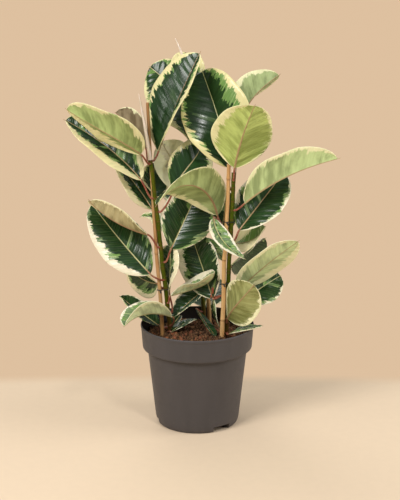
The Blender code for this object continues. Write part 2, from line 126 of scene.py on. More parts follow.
# Each leaf: its stem; height of its joint; heading at the stem, the blade's base and its tip;
# petiole length; rise above level at the same places; blade length and width; fold of each half
# above flat; roll about the midrib at the blade's base and its change to the tip. Millimetres
# and degrees.
LEAVES = {
    "leaf_left_01": ("left", 499, (132, 130, 158), 22, (108, 46, 34), 90, 72, 32, 52, 0),
    "leaf_left_02": ("left", 498, (36, 14, 18), 20, (46, 70, 62), 188, 124, 24, 6, 14),
    "leaf_left_03": ("left", 494, (246, 222, 150), 32, (50, 36, 26), 160, 108, 12, 24, 26),
    "leaf_left_04": ("left", 430, (220, 150, 192), 40, (74, 44, 30), 174, 92, 16, -20, -20),
    "leaf_left_05": ("left", 416, (74, 110, 74), 16, (86, 16, 66), 80, 60, 16, 28, 4),
    "leaf_left_06": ("left", 404, (-14, -13, 98), 48, (50, 69, 10), 116, 74, 11, 39, 12),
    "leaf_left_07": ("left", 386, (96, 150, 164), 26, (18, 54, 44), 110, 76, 14, -24, 8),
    "leaf_left_08": ("left", 343, (134, 60, 174), 14, (54, 40, -10), 84, 32, 22, -8, -4),
    "leaf_left_09": ("left", 336, (246, 180, 210), 38, (82, 16, 50), 128, 78, 22, 8, 20),
    "leaf_left_10": ("left", 307, (-30, 38, 26), 28, (74, 58, 62), 126, 100, 18, 66, -4),
    "leaf_left_11": ("left", 273, (242, 162, 164), 30, (14, 44, 52), 166, 98, 0, -46, 8),
    "leaf_left_12": ("left", 256, (172, 132, 162), 14, (82, -12, 44), 72, 76, 12, -110, -8),
    "leaf_left_13": ("left", 228, (-114, 28, -84), 20, (112, 6, 50), 120, 50, 42, -32, 90),
    "leaf_left_14": ("left", 207, (10, 31, 79), 44, (108, 84, 93), 88, 60, 13, -26, 19),
    "leaf_left_15": ("left", 182, (348, 190, 236), 52, (36, 24, -24), 106, 64, 44, 8, 14),
    "leaf_left_16": ("left", 176, (166, 160, 176), 14, (-16, 30, 40), 92, 54, 16, -14, 4),
    "leaf_left_17": ("left", 173, (98, 42, 50), 10, (-16, 32, 34), 28, 36, 24, 0, 0),
    "leaf_left_18": ("left", 171, (-110, 16, 2), 10, (-18, 34, 16), 52, 32, 10, 0, -2),
    "leaf_right_01": ("right", 466, (-92, -66, -50), 28, (68, 68, 58), 134, 112, 14, -28, 2),
    "leaf_right_02": ("right", 452, (72, 90, -6), 66, (76, 64, 34), 170, 92, 42, -62, -6),
    "leaf_right_03": ("right", 447, (134, 150, 114), 40, (82, 84, 46), 184, 130, 20, -50, 6),
    "leaf_right_04": ("right", 410, (-18, -18, -2), 22, (38, 42, 14), 188, 96, 36, -30, -10),
    "leaf_right_05": ("right", 370, (-340, -84, 2), 80, (100, -50, -30), 102, 38, 14, 2, 14),
    "leaf_right_06": ("right", 363, (96, 224, 226), 48, (8, 76, -42), 190, 90, 10, 62, -32),
    "leaf_right_07": ("right", 353, (-22, 24, 42), 22, (80, 48, 40), 136, 92, 14, 32, 8),
    "leaf_right_08": ("right", 331, (154, -10, -14), 68, (6, -2, 64), 72, 84, 16, 32, -14),
    "leaf_right_09": ("right", 298, (78, 66, 8), 10, (-4, 14, 36), 94, 86, 20, 120, 12),
    "leaf_right_10": ("right", 250, (188, 124, 152), 40, (-112, 59, 69), 132, 92, 11, -73, -12),
    "leaf_right_11": ("right", 244, (134, 180, 166), 30, (44, -86, -118), 56, 32, 2, -20, -4),
    "leaf_right_12": ("right", 238, (-14, -26, -18), 20, (66, 48, 38), 158, 90, 0, -22, -22),
    "leaf_right_13": ("right", 234, (-30, 22, 28), 20, (-32, 32, 22), 92, 78, 12, 34, 10),
    "leaf_right_14": ("right", 196, (-92, -78, -20), 20, (42, 42, 52), 108, 84, 14, -80, -2),
    "leaf_right_15": ("right", 175, (-100, -30, 18), 16, (-14, 36, -4), 66, 36, 0, 6, -16),
    "leaf_back_01": ("back", 593, (112, 104, 84), 14, (62, 100, 40), 76, 74, 32, -2, -2),
    "leaf_back_02": ("back", 534, (52, 52, 76), 44, (38, 24, 20), 120, 66, 22, -2, 0),
    "leaf_back_03": ("back", 470, (56, 56, 60), 24, (60, 40, 10), 140, 76, 24, 0, 0),
    "leaf_back_04": ("back", 449, (124, 202, 144), 68, (74, 94, 26), 164, 122, 0, -30, -30),
    "leaf_back_05": ("back", 418, (142, 248, 184), 32, (80, 42, 64), 100, 90, 0, 98, 14),
    "leaf_back_06": ("back", 312, (-22, 50, 80), 45, (10, 66, 84), 86, 60, 10, 0, 0),
    "leaf_back_07": ("back", 345, (130, 124, 116), 22, (60, 40, 0), 140, 76, 20, 0, 0),
    "leaf_back_08": ("back", 196, (84, 84, 80), 14, (0, 0, 26), 118, 86, 6, 0, 0),
    "leaf_back_09": ("back", 343, (-60, -44, -36), 12, (10, -30, -48), 58, 36, 10, 0, 0),
    "leaf_back_10": ("back", 245, (300, 224, 190), 14, (-22, -22, -48), 74, 56, 22, -6, 2),
    "leaf_back_11": ("back", 195, (-172, -60, -58), 30, (74, -28, -26), 76, 28, 14, -30, 6),
}
# Headings in degrees of the petioles that leave their stem so as to miss the cane beside it.
LEAVING = {"leaf_left_11": 245.0, "leaf_right_05": 152.0, "leaf_back_06": 335.0}
# Colouring of each leaf: share of the half width at which the cream margin begins, at base,
# middle and tip of the left half and then of the right; share of that at which the dark green
# ends, left and right; amount of paler patches; yellowness of the cream; redness of the midrib;
# tone of the underside.
LOOKS = {
    "leaf_back_01": ((.6, .66, .5, .6, .66, .5), (.9, .9), .3, .8, .5, "fresh"),
    "leaf_back_02": ((.7, .78, .66, .7, .8, .7), (.8, .8), .4, .6, .5, "fresh"),
    "leaf_back_03": ((.72, .8, .72, .66, .78, .7), (.85, .8), .4, .6, .5, "sage"),
    "leaf_back_04": ((.84, .88, .84, .84, .88, .84), (.9, .9), .5, .75, .5, "fresh"),
    "leaf_back_05": ((.5, .42, .2, .5, .42, .2), (.7, .7), .3, .1, .5, "sand"),
    "leaf_back_06": ((.93, .95, .93, .93, .95, .93), (1.0, 1.0), .1, .3, .5, "sage"),
    "leaf_back_07": ((.72, .8, .72, .66, .78, .7), (.85, .8), .4, .4, .5, "sage"),
    "leaf_back_08": ((.93, .95, .93, .93, .95, .93), (1.05, 1.05), .0, .3, .5, "sage"),
    "leaf_back_09": ((.8, .82, .8, .8, .82, .8), (.2, .2), .5, 0, .3, "sage"),
    "leaf_back_10": ((.9, .93, .9, .86, .88, .86), (1.0, 1.0), .1, .3, .6, "sage"),
    "leaf_back_11": ((1.3, 1.3, 1.3, 1.3, 1.3, 1.3), (1.1, 1.1), .0, .8, .9, "olive"),
    "leaf_left_01": ((.93, .96, .94, .93, .96, .94), (.7, .7), .3, .5, .9, "brown"),
    "leaf_left_02": ((.76, .88, .72, .7, .8, .74), (1.02, .95), .10, .8, .9, "fresh"),
    "leaf_left_03": ((.66, .88, .76, .52, .5, .45), (.7, .6), .3, .8, .8, "fresh"),
    "leaf_left_04": ((.34, .64, .68, .34, .86, .8), (.88, .95), .3, .7, .7, "fresh"),
    "leaf_left_05": ((.8, .86, .84, .8, .86, .84), (.9, .9), .3, .5, .6, "sage"),
    "leaf_left_06": ((.86, .86, .5, .86, .86, .5), (.95, .95), .1, .7, .5, "sage"),
    "leaf_left_07": ((.55, .62, .72, .84, .9, .84), (.9, .97), .25, .6, .6, "fresh"),
    "leaf_left_08": ((.55, .6, .6, .55, .6, .6), (.5, .5), .8, .5, .6, "sage"),
    "leaf_left_09": ((.85, .86, .8, .85, .84, .78), (.8, .8), .4, .2, .9, "rose"),
    "leaf_left_10": ((.84, .86, .82, .92, .94, .88), (.95, .93), .3, .1, .3, "sage"),
    "leaf_left_11": ((.66, .72, .92, .9, .95, .92), (.88, .97), .22, .05, .2, "sage"),
    "leaf_left_12": ((.62, .62, .6, .68, .68, .68), (.95, .95), .3, .4, .5, "sage"),
    "leaf_left_13": ((.5, .5, .55, .5, .5, .55), (.3, .3), .7, .05, .3, "mint"),
    "leaf_left_14": ((.62, .7, .7, .5, .5, .5), (.9, .9), .2, .3, .2, "dark"),
    "leaf_left_15": ((.78, .82, .74, .78, .82, .74), (-1, -1), .3, 0, .3, "mint"),
    "leaf_left_16": ((.93, .95, .93, .93, .95, .93), (.97, .97), .15, .2, .3, "sage"),
    "leaf_left_17": ((.97, .97, .95, .97, .97, .95), (1.05, 1.05), .0, .2, .3, "sage"),
    "leaf_left_18": ((.93, .95, .93, .93, .95, .93), (1.05, 1.05), .0, .1, .3, "sage"),
    "leaf_right_01": ((.86, .93, .86, .84, .74, .68), (.8, .75), .3, .9, .8, "yellow"),
    "leaf_right_02": ((.84, .88, .82, .84, .9, .74), (.8, .8), .3, .5, .9, "moss"),
    "leaf_right_03": ((.62, .88, .86, .64, .76, .72), (1.05, .66), .0, .85, .15, "fresh"),
    "leaf_right_04": ((.88, .9, .72, .86, .9, .68), (.8, .8), .3, .4, .7, "silver"),
    "leaf_right_05": ((.7, .8, .66, .66, .78, .66), (.3, .2), .75, 0, .2, "sage"),
    "leaf_right_06": ((.86, .9, .84, .66, .88, .86), (.8, .8), .3, .6, .9, "sage"),
    "leaf_right_07": ((.85, .93, .86, .88, .9, .84), (.94, .95), .3, .1, .8, "sage"),
    "leaf_right_08": ((.05, .5, .9, .10, .14, .2), (-1, -1), .85, .6, .7, "sage"),
    "leaf_right_09": ((.93, .95, .93, .93, .95, .93), (.97, .97), .2, .1, .3, "sage"),
    "leaf_right_10": ((.82, .76, .68, .82, .92, .97), (1.0, 1.0), .12, .05, .2, "sage"),
    "leaf_right_11": ((.84, .86, .84, .84, .86, .84), (.9, .9), .3, 0, .4, "sage"),
    "leaf_right_12": ((.6, .68, .58, .64, .74, .66), (.7, .7), .3, .1, .6, "frost"),
    "leaf_right_13": ((.93, .93, .9, .93, .92, .9), (.97, .97), .2, .2, .2, "sage"),
    "leaf_right_14": ((.9, .86, .84, .93, .95, .9), (.8, .8), .3, .4, .8, "olive"),
    "leaf_right_15": ((.9, .92, .9, .84, .86, .88), (.3, .3), .5, .3, .6, "olive"),
}
UNDERSIDES = {
    "fresh": (0.29, 0.385, 0.125), "sage": (0.30, 0.38, 0.14), "mint": (0.52, 0.60, 0.34),
    "olive": (0.22, 0.23, 0.062), "yellow": (0.33, 0.405, 0.095), "sand": (0.60, 0.55, 0.38),
    "silver": (0.36, 0.455, 0.19), "frost": (0.43, 0.53, 0.26), "moss": (0.25, 0.31, 0.115),
    "dark": (0.085, 0.10, 0.018), "rose": (0.36, 0.32, 0.16), "brown": (0.20, 0.145, 0.075),
}


# ---- meshes ---------------------------------------------------------------------------------
def vector(heading, rise):
    """Unit vectors at headings h and rises r in degrees.

    East is cos h cos r, north is sin h cos r, and up is sin r.
    """
    h, r = np.radians(heading), np.radians(rise)
    return np.stack([np.cos(h) * np.cos(r), np.sin(h) * np.cos(r), np.sin(r) + 0 * h], -1)


def unit(v):
    """Vectors divided by their lengths."""
    return v / np.linalg.norm(v, axis=-1, keepdims=True)


def smoothstep(low, high, x):
    """0 below low, 1 above high, and 3t^2 - 2t^3 between."""
    t = np.clip((x - low) / (high - low), 0, 1)
    return t * t * (3 - 2 * t)


def bell(x, width):
    """Bell curve: e to the power of minus (x / width) squared."""
    return np.exp(-(x / width) ** 2)


def tinted(color, factor, lift=0.0):
    """A colour times a factor, plus a lift, and at most 1."""
    return tuple(min(1.0, c * factor + lift) for c in color)


def link(obj):
    """Put an object into the scene."""
    bpy.context.scene.collection.objects.link(obj)
    return obj


def mesh_object(name, verts, faces, materials, face_material=None, smooth=True):
    """Object from an array of points and a list of index arrays, one array per face size."""
    faces = [np.asarray(f, np.int32) for f in faces if len(f)]
    loops = np.concatenate([f.ravel() for f in faces])
    totals = np.concatenate([np.full(len(f), f.shape[1], np.int32) for f in faces])
    starts = np.concatenate([[0], np.cumsum(totals)[:-1]]).astype(np.int32)
    mesh = bpy.data.meshes.new(name)
    mesh.vertices.add(len(verts))
    mesh.vertices.foreach_set("co", np.asarray(verts, np.float32).ravel())
    mesh.loops.add(len(loops))
    mesh.loops.foreach_set("vertex_index", loops)
    mesh.polygons.add(len(totals))
    mesh.polygons.foreach_set("loop_start", starts)
    mesh.polygons.foreach_set("loop_total", totals)
    for mat in materials:
        mesh.materials.append(mat)
    if face_material is not None:
        mesh.polygons.foreach_set("material_index", np.asarray(face_material, np.int32))
    mesh.update(calc_edges=True)
    mesh.polygons.foreach_set("use_smooth", np.full(len(totals), smooth))
    mesh.validate()
    return link(bpy.data.objects.new(name, mesh))


def volume(verts, quads):
    """Signed volume inside quads: the sum of a . (b x c) / 6 over their triangles."""
    a, b, c, d = (verts[quads[:, i]] for i in range(4))
    return float(np.sum(a * np.cross(b, c)) + np.sum(a * np.cross(c, d))) / 6


def ring_quads(rows, cols, closed):
    """Quads from each ring of points to the next, and from the last to the first if closed."""
    r, c = np.meshgrid(np.arange(rows if closed else rows - 1), np.arange(cols), indexing="ij")
    s, n = (r + 1) % rows, (c + 1) % cols
    return np.stack([r * cols + c, r * cols + n, s * cols + n, s * cols + c], -1).reshape(-1, 4)


def tube_faces(rows, cols):
    """Quads between rings of points, and a triangle fan to a pole behind each end ring.

    The poles are the two points that follow the rings.
    """
    i = np.arange(cols)
    j = (i + 1) % cols
    top = (rows - 1) * cols
    first = np.stack([j, i, np.full(cols, rows * cols)], -1)
    last = np.stack([top + i, top + j, np.full(cols, rows * cols + 1)], -1)
    return ring_quads(rows, cols, closed=False), np.concatenate([first, last])


def closed_tube(rings):
    """Points and faces of a tube whose two ends are closed at their centres, facing outwards."""
    rows, cols, _ = rings.shape
    verts = np.concatenate([rings.reshape(-1, 3), rings[0].mean(0)[None], rings[-1].mean(0)[None]])
    quads, fans = tube_faces(rows, cols)
    if volume(verts, quads) < 0:
        quads, fans = quads[:, ::-1], fans[:, ::-1]
    return verts, quads, fans


def join(parts):
    """One set of points and faces from several closed tubes."""
    verts, quads, fans, start = [], [], [], 0
    for v, q, f in parts:
        verts.append(v)
        quads.append(q + start)
        fans.append(f + start)
        start += len(v)
    return np.concatenate(verts), np.concatenate(quads), np.concatenate(fans)


def solid_object(name, solid, materials, face_material=None):
    """Object from the points, quads and triangles of one or more closed tubes."""
    verts, quads, fans = solid
    return mesh_object(name, verts, [quads, fans], materials, face_material)


def tube_object(name, rings, materials, face_material=None):
    """Object whose surface is one closed tube through rings of points."""
    return solid_object(name, closed_tube(rings), materials, face_material)


def put(mesh, name, values):
    """Store one vector per vertex as an attribute."""
    layer = mesh.attributes.new(name, "FLOAT_VECTOR", "POINT")
    layer.data.foreach_set("vector", np.asarray(values, np.float32).ravel())


def put_rings(obj, name, sides, columns, last=(0, 0, 0)):
    """Store up to three numbers on a tube's points, each given by ring or by ring and side.

    The pole before the first ring gets zeros, and the one after the last ring gets last.
    """
    rows = (len(obj.data.vertices) - 2) // sides
    values = np.zeros((rows * sides + 2, 3))
    for axis, column in enumerate(columns):
        by_ring = np.reshape(column, (rows, -1))
        values[:-2, axis] = np.broadcast_to(by_ring, (rows, sides)).ravel()
    values[-1] = last
    put(obj.data, name, values)


def curve_through(points, steps):
    """Points evenly spaced in parameter on a Catmull-Rom curve through the given ones."""
    p = np.asarray(points, float)
    p = np.concatenate([2 * p[:1] - p[1:2], p, 2 * p[-1:] - p[-2:-1]])
    t = np.linspace(0, len(p) - 3, steps)
    i = np.minimum(t.astype(int), len(p) - 4)
    f = (t - i)[:, None]
    a, b, c, d = p[i], p[i + 1], p[i + 2], p[i + 3]
    return 0.5 * (2 * b + (c - a) * f + (2 * a - 5 * b + 4 * c - d) * f**2
                  + (3 * b - a - 3 * c + d) * f**3)


def around(radius, v, z):
    """Points about the upright axis: radius cos v east, radius sin v north, and z up."""
    return np.stack(np.broadcast_arrays(radius * np.cos(v), radius * np.sin(v), z), -1)


def circles(centres, radius, first, second, sides):
    """A ring round each centre: centre + radius (cos v * first + sin v * second)."""
    v = np.linspace(0, 2 * np.pi, sides, endpoint=False)[:, None]
    r = np.broadcast_to(radius, len(centres))[:, None, None]
    return centres[:, None] + r * (np.cos(v) * first[:, None] + np.sin(v) * second[:, None])


def tube(path, radius, sides):
    """Circles across a path, whose first direction is kept towards -Y."""
    axis = unit(np.gradient(path, axis=0))
    first = unit(np.array([0.0, -1.0, 0.0]) + axis * axis[:, 1:2])
    return circles(path, radius, first, np.cross(axis, first), sides)


def at_height(path, z):
    """Point of a rising path at a height, on the straight lines between its points."""
    x, y, heights = np.transpose(path)
    return np.array([np.interp(z, heights, x), np.interp(z, heights, y), z])


def finish_piece(obj, slot, *nodes):
    """Fix a piece to the body and let it stand for CAD nodes; slot is not used."""
    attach(obj, BODY)
    if nodes:
        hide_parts(*nodes)


# ---- materials ------------------------------------------------------------------------------
class Field:
    """A node's output that adds, subtracts, multiplies and divides through further nodes."""

    def __init__(self, nodes, socket):
        self.nodes, self.socket = nodes, socket

    def __add__(self, other):
        return self.nodes.math("ADD", self, other)

    def __sub__(self, other):
        return self.nodes.math("SUBTRACT", self, other)

    def __rsub__(self, other):
        return self.nodes.math("SUBTRACT", other, self)

    def __mul__(self, other):
        return self.nodes.math("MULTIPLY", self, other)

    def __truediv__(self, other):
        return self.nodes.math("DIVIDE", self, other)


class Nodes:
    """Short names for building a node tree."""

    def __init__(self, tree):
        self.tree = tree

    def add(self, kind, inputs=(), output=0, **settings):
        """The chosen output of a new node, or all its outputs if the choice is None."""
        node = self.tree.nodes.new(kind)
        for key, value in settings.items():
            setattr(node, key, value)
        for key, value in dict(inputs).items():
            self.wire(value, node.inputs[key])
        outputs = [Field(self, socket) for socket in node.outputs]
        return outputs if output is None else outputs[output]

    def wire(self, value, socket):
        """Link an output to a socket, or set the socket to a number, vector or colour."""
        if isinstance(value, Field):
            self.tree.links.new(value.socket, socket)
        elif socket.type == "RGBA":
            socket.default_value = (*value[:3], 1)
        else:
            socket.default_value = value

    def math(self, operation, a, b=0.0):
        """One operation on two numbers."""
        return self.add("ShaderNodeMath", {0: a, 1: b}, operation=operation)

    def ramp(self, x, low, high, to_low=0.0, to_high=1.0):
        """x mapped smoothly from low..high to to_low..to_high."""
        return self.add("ShaderNodeMapRange", {0: x, 1: low, 2: high, 3: to_low, 4: to_high},
                        interpolation_type="SMOOTHSTEP")

    def mix(self, factor, a, b):
        """Colour a where the factor is 0 and b where it is 1."""
        return self.add("ShaderNodeMix", {0: factor, 6: a, 7: b}, output=2, data_type="RGBA")

    def split(self, vector):
        """The three numbers of a vector."""
        return self.add("ShaderNodeSeparateXYZ", {0: vector}, output=None)

    def attribute(self, name):
        """The three numbers of a vector attribute."""
        return self.split(self.add("ShaderNodeAttribute", attribute_name=name, output=1))

    def position(self, scale=(1, 1, 1)):
        """Place in the object's own frame, scaled along each axis."""
        coords = self.add("ShaderNodeTexCoord", output=3)
        return self.add("ShaderNodeMapping", {0: coords, 3: scale})

    def join(self, x, y, z):
        """A vector of three numbers."""
        return self.add("ShaderNodeCombineXYZ", {0: x, 1: y, 2: z})

    def noise(self, where, scale, detail=2.0, rough=0.5):
        """Smooth noise, scale waves to a unit, with finer octaves on top."""
        return self.add("ShaderNodeTexNoise",
                        {"Vector": where, "Scale": scale, "Detail": detail, "Roughness": rough})

    def bump(self, height, distance, strength=1.0):
        """The normal of a surface raised by height times distance."""
        return self.add("ShaderNodeBump",
                        {"Height": height, "Distance": distance, "Strength": strength})


class MaterialNodes(Nodes):
    """The node tree of a new material and its shader."""

    def __init__(self, name):
        old = bpy.data.materials.get(name)
        if old:
            bpy.data.materials.remove(old)
        self.mat = bpy.data.materials.new(name)
        self.mat.use_nodes = True
        super().__init__(self.mat.node_tree)
        self.shader = self.tree.nodes["Principled BSDF"]

    def done(self, color, roughness, specular, normal=None):
        """Wire the shader and return the material."""
        self.wire(color, self.shader.inputs["Base Color"])
        self.wire(roughness, self.shader.inputs["Roughness"])
        self.wire(specular, self.shader.inputs["Specular IOR Level"])
        if normal is not None:
            self.wire(normal, self.shader.inputs["Normal"])
        return self.mat


class LeafNodes(MaterialNodes):
    """Leaf coordinates and patterns: shares across, distance along the lateral veins, sectors.

    A lateral vein leaves the midrib and bends towards the tip, so distance along less a share
    of the distance across is the same all along one vein. A sector is the strip between two
    lateral veins, numbered along the leaf.
    """

    def __init__(self, name):
        super().__init__(name)
        along, across, seed = self.attribute("place")
        self.share, tau, self.ripple = self.attribute("share")
        self.pale_from, self.dark_to, self.patches = self.attribute("tones")
        self.warmth, self.rib_red, _ = self.attribute("tint")
        self.tau, self.out = self.math("ABSOLUTE", tau), self.math("ABSOLUTE", across)
        self.vein = along - self.out * VEIN_SLANT
        self.side = seed + self.math("SIGN", across) * 7.3
        wander = self.noise(self.join(self.vein * 45.0, self.side, 0.0), 1.0, 1.0)
        self.count = self.vein / VEIN_SPACING + wander * 4.0

    def streaks(self, per_metre, across, shift, detail=2.0):
        """Noise drawn out along the lateral veins."""
        where = self.join(self.vein * per_metre, self.tau * across, self.side + shift)
        return self.noise(where, 1.0, detail, 0.55)

    def sector(self, size, shift):
        """A random number that stays the same over a run of neighbouring sectors."""
        cell = self.math("FLOOR", self.count / size + shift)
        where = self.join(cell, self.side + shift, shift)
        return self.add("ShaderNodeTexWhiteNoise", {"Vector": where}, noise_dimensions="3D")

    def feather(self):
        """Fine streaks about zero that fray the edges of the zones."""
        return self.streaks(380.0, 2.6, 3.1) - 0.5

    def zone_edge(self, feather, lobes, steps, shift):
        """Share across, shifted by broad lobes, steps from sector to sector and feathering."""
        broad = self.streaks(55.0, 1.0, shift, 3.0) - 0.5
        jump = (self.sector(1.0, shift) + self.sector(2.3, shift + 5.0)) * 0.5 - 0.5
        return self.tau + broad * lobes + jump * steps + feather * 0.24

    def vein_lines(self, width):
        """1 on each lateral vein and 0 between them."""
        return self.ramp(self.math("PINGPONG", self.count, 0.5), 0.0, width, 1.0, 0.0)

    def rib_mask(self, at_base, at_tip, inner, outer):
        """1 on the midrib, whose half width narrows from base to tip, and 0 beside it."""
        width = self.ramp(self.share, 0.0, 1.0, at_base, at_tip)
        return self.ramp(self.out - width, inner, outer, 1.0, 0.0)


def upper_material(colors):
    """Dark green with paler lobes and a cream margin, all drawn out along the lateral veins."""
    n = LeafNodes("leaf_upper")
    feather = n.feather()
    edge = n.zone_edge(feather, 0.46, 0.30, 0.0)
    core = n.zone_edge(feather, 0.70, 0.46, 21.0)
    cream_mask = n.ramp(edge - n.pale_from, -0.012, 0.012)
    mid_mask = n.ramp(core - n.dark_to, -0.018, 0.018)
    reach = n.sector(1.7, 63.0) * 0.85 - (n.tau + feather * 0.5)
    chosen = n.sector(1.7, 41.0) - (1.0 - n.patches * 0.42)
    islands = n.ramp(reach, -0.03, 0.03) * n.ramp(chosen, -0.02, 0.02)
    shade = n.streaks(80.0, 1.4, 60.0) + (n.sector(1.4, 90.0) - 0.5) * 0.14
    dark = n.mix(n.ramp(shade, 0.36, 0.66), colors.dark_green, colors.deep_green)
    fine = n.streaks(300.0, 1.8, 75.0)
    grey = n.ramp(shade, 0.36, 0.56) * (1.0 - n.warmth)
    mid = n.mix(grey, colors.mid_green, colors.grey_green)
    mid = n.mix(n.ramp(fine, 0.50, 0.70), mid, colors.pale_green)
    cream = n.mix(n.warmth, colors.white_cream, colors.yellow_cream)
    cream = n.mix(n.ramp(fine, 0.48, 0.80, 0.0, 0.40), cream, colors.pale_green)
    color = n.mix(n.math("MAXIMUM", mid_mask, islands), dark, mid)
    color = n.mix(cream_mask, color, cream)
    color = n.mix(n.vein_lines(0.12) * (n.ripple * 0.08), color, colors.pale_green)
    rib_tone = n.math("MAXIMUM", n.ramp(n.share, 0.0, 0.16, 1.0, 0.0), n.rib_red * 0.85)
    rib = n.mix(rib_tone, colors.rib_pale, colors.rib_red)
    color = n.mix(n.rib_mask(0.00125, 0.00055, -0.0002, 0.0003), color, rib)
    ridge = n.vein_lines(0.5) * (n.ripple * 0.17)
    swell = n.streaks(95.0, 0.9, 50.0, 0.8)
    return n.done(color, n.ramp(fine, 0.3, 0.8, 0.19, 0.29), 0.36, n.bump(ridge + swell, 0.0008))


def under_material(colors, tone):
    """Paler and duller: soft green with a cream margin, raised net of veins and pink midrib."""
    n = LeafNodes("leaf_under_" + tone)
    cream_mask = n.ramp(n.zone_edge(n.feather(), 0.46, 0.30, 0.0) - n.pale_from, -0.04, 0.04)
    soft = n.streaks(60.0, 1.2, 33.0, 3.0)
    shade = soft + (n.sector(1.4, 90.0) - 0.5) * 0.16
    shade = shade + n.ramp(n.share, 0.1, 0.9, -0.07, 0.07)
    light = tinted(UNDERSIDES[tone], 1.36, 0.05)
    body = n.mix(n.ramp(shade, 0.34, 0.68), tinted(UNDERSIDES[tone], 0.80), light)
    cream = n.mix(n.warmth * 0.45, colors.under_cream, colors.yellow_cream)
    cream = n.mix(n.ramp(soft, 0.4, 0.7, 0.05, 0.28), cream, light)
    color = n.mix(n.vein_lines(0.16) * 0.15, n.mix(cream_mask, body, cream), light)
    rib = n.mix(n.rib_red * 0.9, colors.rib_pale, colors.rib_red)
    color = n.mix(n.rib_mask(0.0019, 0.0008, -0.0004, 0.0006) * 0.9, color, rib)
    net = n.noise(n.position(), 700.0)
    return n.done(color, 0.52, 0.35, n.bump(n.vein_lines(0.35) + net * 0.25, 0.00018))


def petiole_material(colors):
    """Mottled red, turning towards the midrib's colour near the blade."""
    n = LeafNodes("leaf_petiole")
    mottle = n.noise(n.position(), 260.0, 3.0)
    red = n.mix(n.ramp(mottle, 0.35, 0.7), colors.petiole_red, colors.rib_red)
    near_blade = n.mix(n.rib_red, colors.rib_pale, red)
    color = n.mix(n.ramp(n.share, -0.30, 0.0, 0.0, 0.35), red, near_blade)
    return n.done(color, 0.42, 0.45, n.bump(mottle, 0.0002, 0.5))


def stem_material(colors):
    """Smooth green bark: brown near the soil and at the leaf scars, pale lenticels."""
    n = MaterialNodes("stem_bark")
    height = n.split(n.position())[2]
    broad = n.noise(n.position((1, 1, 0.25)), 160.0, 3.0)
    green = n.mix(n.ramp(broad, 0.35, 0.65), colors.stem_green, colors.stem_olive)
    color = n.mix(n.ramp(height + broad * 0.09, 0.20, 0.275, 1.0, 0.0), green, colors.stem_brown)
    color = n.mix(n.attribute("scar")[0] * 0.75, color, colors.stem_brown)
    cells = n.add("ShaderNodeTexVoronoi", {"Vector": n.position((1, 1, 0.5)), "Scale": 420.0})
    dots = n.ramp(cells, 0.12, 0.24, 1.0, 0.0)
    color = n.mix(dots * 0.35, color, LENTICEL)
    streak = n.noise(n.position((1, 1, 0.08)), 900.0)
    return n.done(color, 0.45, 0.12, n.bump(streak + dots, 0.0003))


def bamboo_material(colors):
    """Tan culm with fine lengthwise fibres, a dark line under each node, a stain that is partly
    painted shade, and painted shade down the hollow top.
    """
    n = MaterialNodes("cane_bamboo")
    fibres = n.noise(n.position((1, 1, 0.02)), 1500.0)
    broad = n.noise(n.position((1, 1, 0.12)), 120.0, 3.0)
    scar, cut, stain_and_shade = n.attribute("scar")
    color = n.mix(n.ramp(broad, 0.32, 0.68), colors.cane_tan, colors.cane_pale)
    color = n.mix(n.ramp(fibres, 0.45, 0.8, 0.0, 0.35), color, colors.cane_brown)
    color = n.mix(scar * 0.8, color, colors.cane_brown)
    # Partly real weathering, partly painted shade and a painted stem shadow on the left cane.
    color = n.mix(stain_and_shade * 0.75, color, colors.cane_stain_and_shade)
    # Painted shade: the hollow top darkens towards black with depth.
    color = n.mix(cut, color, CANE_HOLLOW_SHADE)
    return n.done(color, n.ramp(fibres, 0.3, 0.8, 0.38, 0.55), 0.4, n.bump(fibres, 0.0002))


def sheath_material(colors):
    """Pale pink with lengthwise cream streaks, paler towards the highest tip."""
    n = MaterialNodes("bud_sheath")
    streak = n.noise(n.position((1, 1, 0.06)), 900.0, 3.0)
    color = n.mix(n.ramp(streak, 0.4, 0.7), colors.sheath, SHEATH_STREAK)
    height = n.split(n.position())[2]
    color = n.mix(n.ramp(height, 0.60, 0.70, 0.0, 0.3), color, SHEATH_TIP)
    return n.done(color, 0.42, 0.4, n.bump(streak, 0.0002))


def plain_material(name, color, rough, grain, scale, depth):
    """One colour with a little mottling and a fine grain."""
    n = MaterialNodes(name)
    mottle = n.ramp(n.noise(n.position(), scale * 0.12, 3.0), 0.3, 0.7)
    color = n.mix(mottle, tinted(color, 1 - grain), tinted(color, 1 + grain))
    return n.done(color, rough, 0.5, n.bump(n.noise(n.position(), scale), depth))


def pot_material(colors):
    """Matt moulded plastic: faint flow streaks, dust near the foot, fine spark texture, and
    painted shade inside and in the foot's notches.
    """
    n = MaterialNodes("pot_plastic")
    streak = n.ramp(n.noise(n.position((1, 1, 0.15)), 40.0, 3.0), 0.3, 0.7)
    color = n.mix(streak, tinted(colors.color, 0.95), tinted(colors.color, 1.06))
    dust = n.noise(n.position(), 90.0, 4.0, 0.6)
    low = n.ramp(n.split(n.position())[2], 0.0, 0.05, 0.06, 0.0)
    color = n.mix(n.ramp(dust, 0.45, 0.75) * low, color, POT_DUST)
    # Painted shade: where the inside attribute is 1, on the inner wall and in the notch recesses,
    # the plastic turns near black.
    color = n.mix(n.attribute("inside")[0] * 0.85, color, POT_SHADE)
    fine = n.noise(n.position(), 2600.0)
    return n.done(color, n.ramp(dust, 0.3, 0.8, 0.50, 0.60), 0.42, n.bump(fine, 0.00012, 0.6))


def soil_material(name, colors, shift):
    """Dark peat with painted shade in the hollows, brown clods and pale fibres, from two sizes of
    noise.
    """
    n = MaterialNodes(name)
    clods = n.noise(n.position(), 190.0 + shift, 4.0, 0.65)
    fine = n.noise(n.position(), 1300.0 + shift, 3.0, 0.6)
    # The clods noise is also the bump's height, so its low places get the dark colour: dark peat
    # and painted shade in the hollows.
    color = n.mix(n.ramp(clods, 0.38, 0.66), colors.soil_dark_and_shade, colors.soil_brown)
    color = n.mix(n.ramp(fine, 0.52, 0.78), color, colors.soil_fibre)
    return n.done(color, 0.95, 0.15, n.bump(clods + fine, 0.0012))


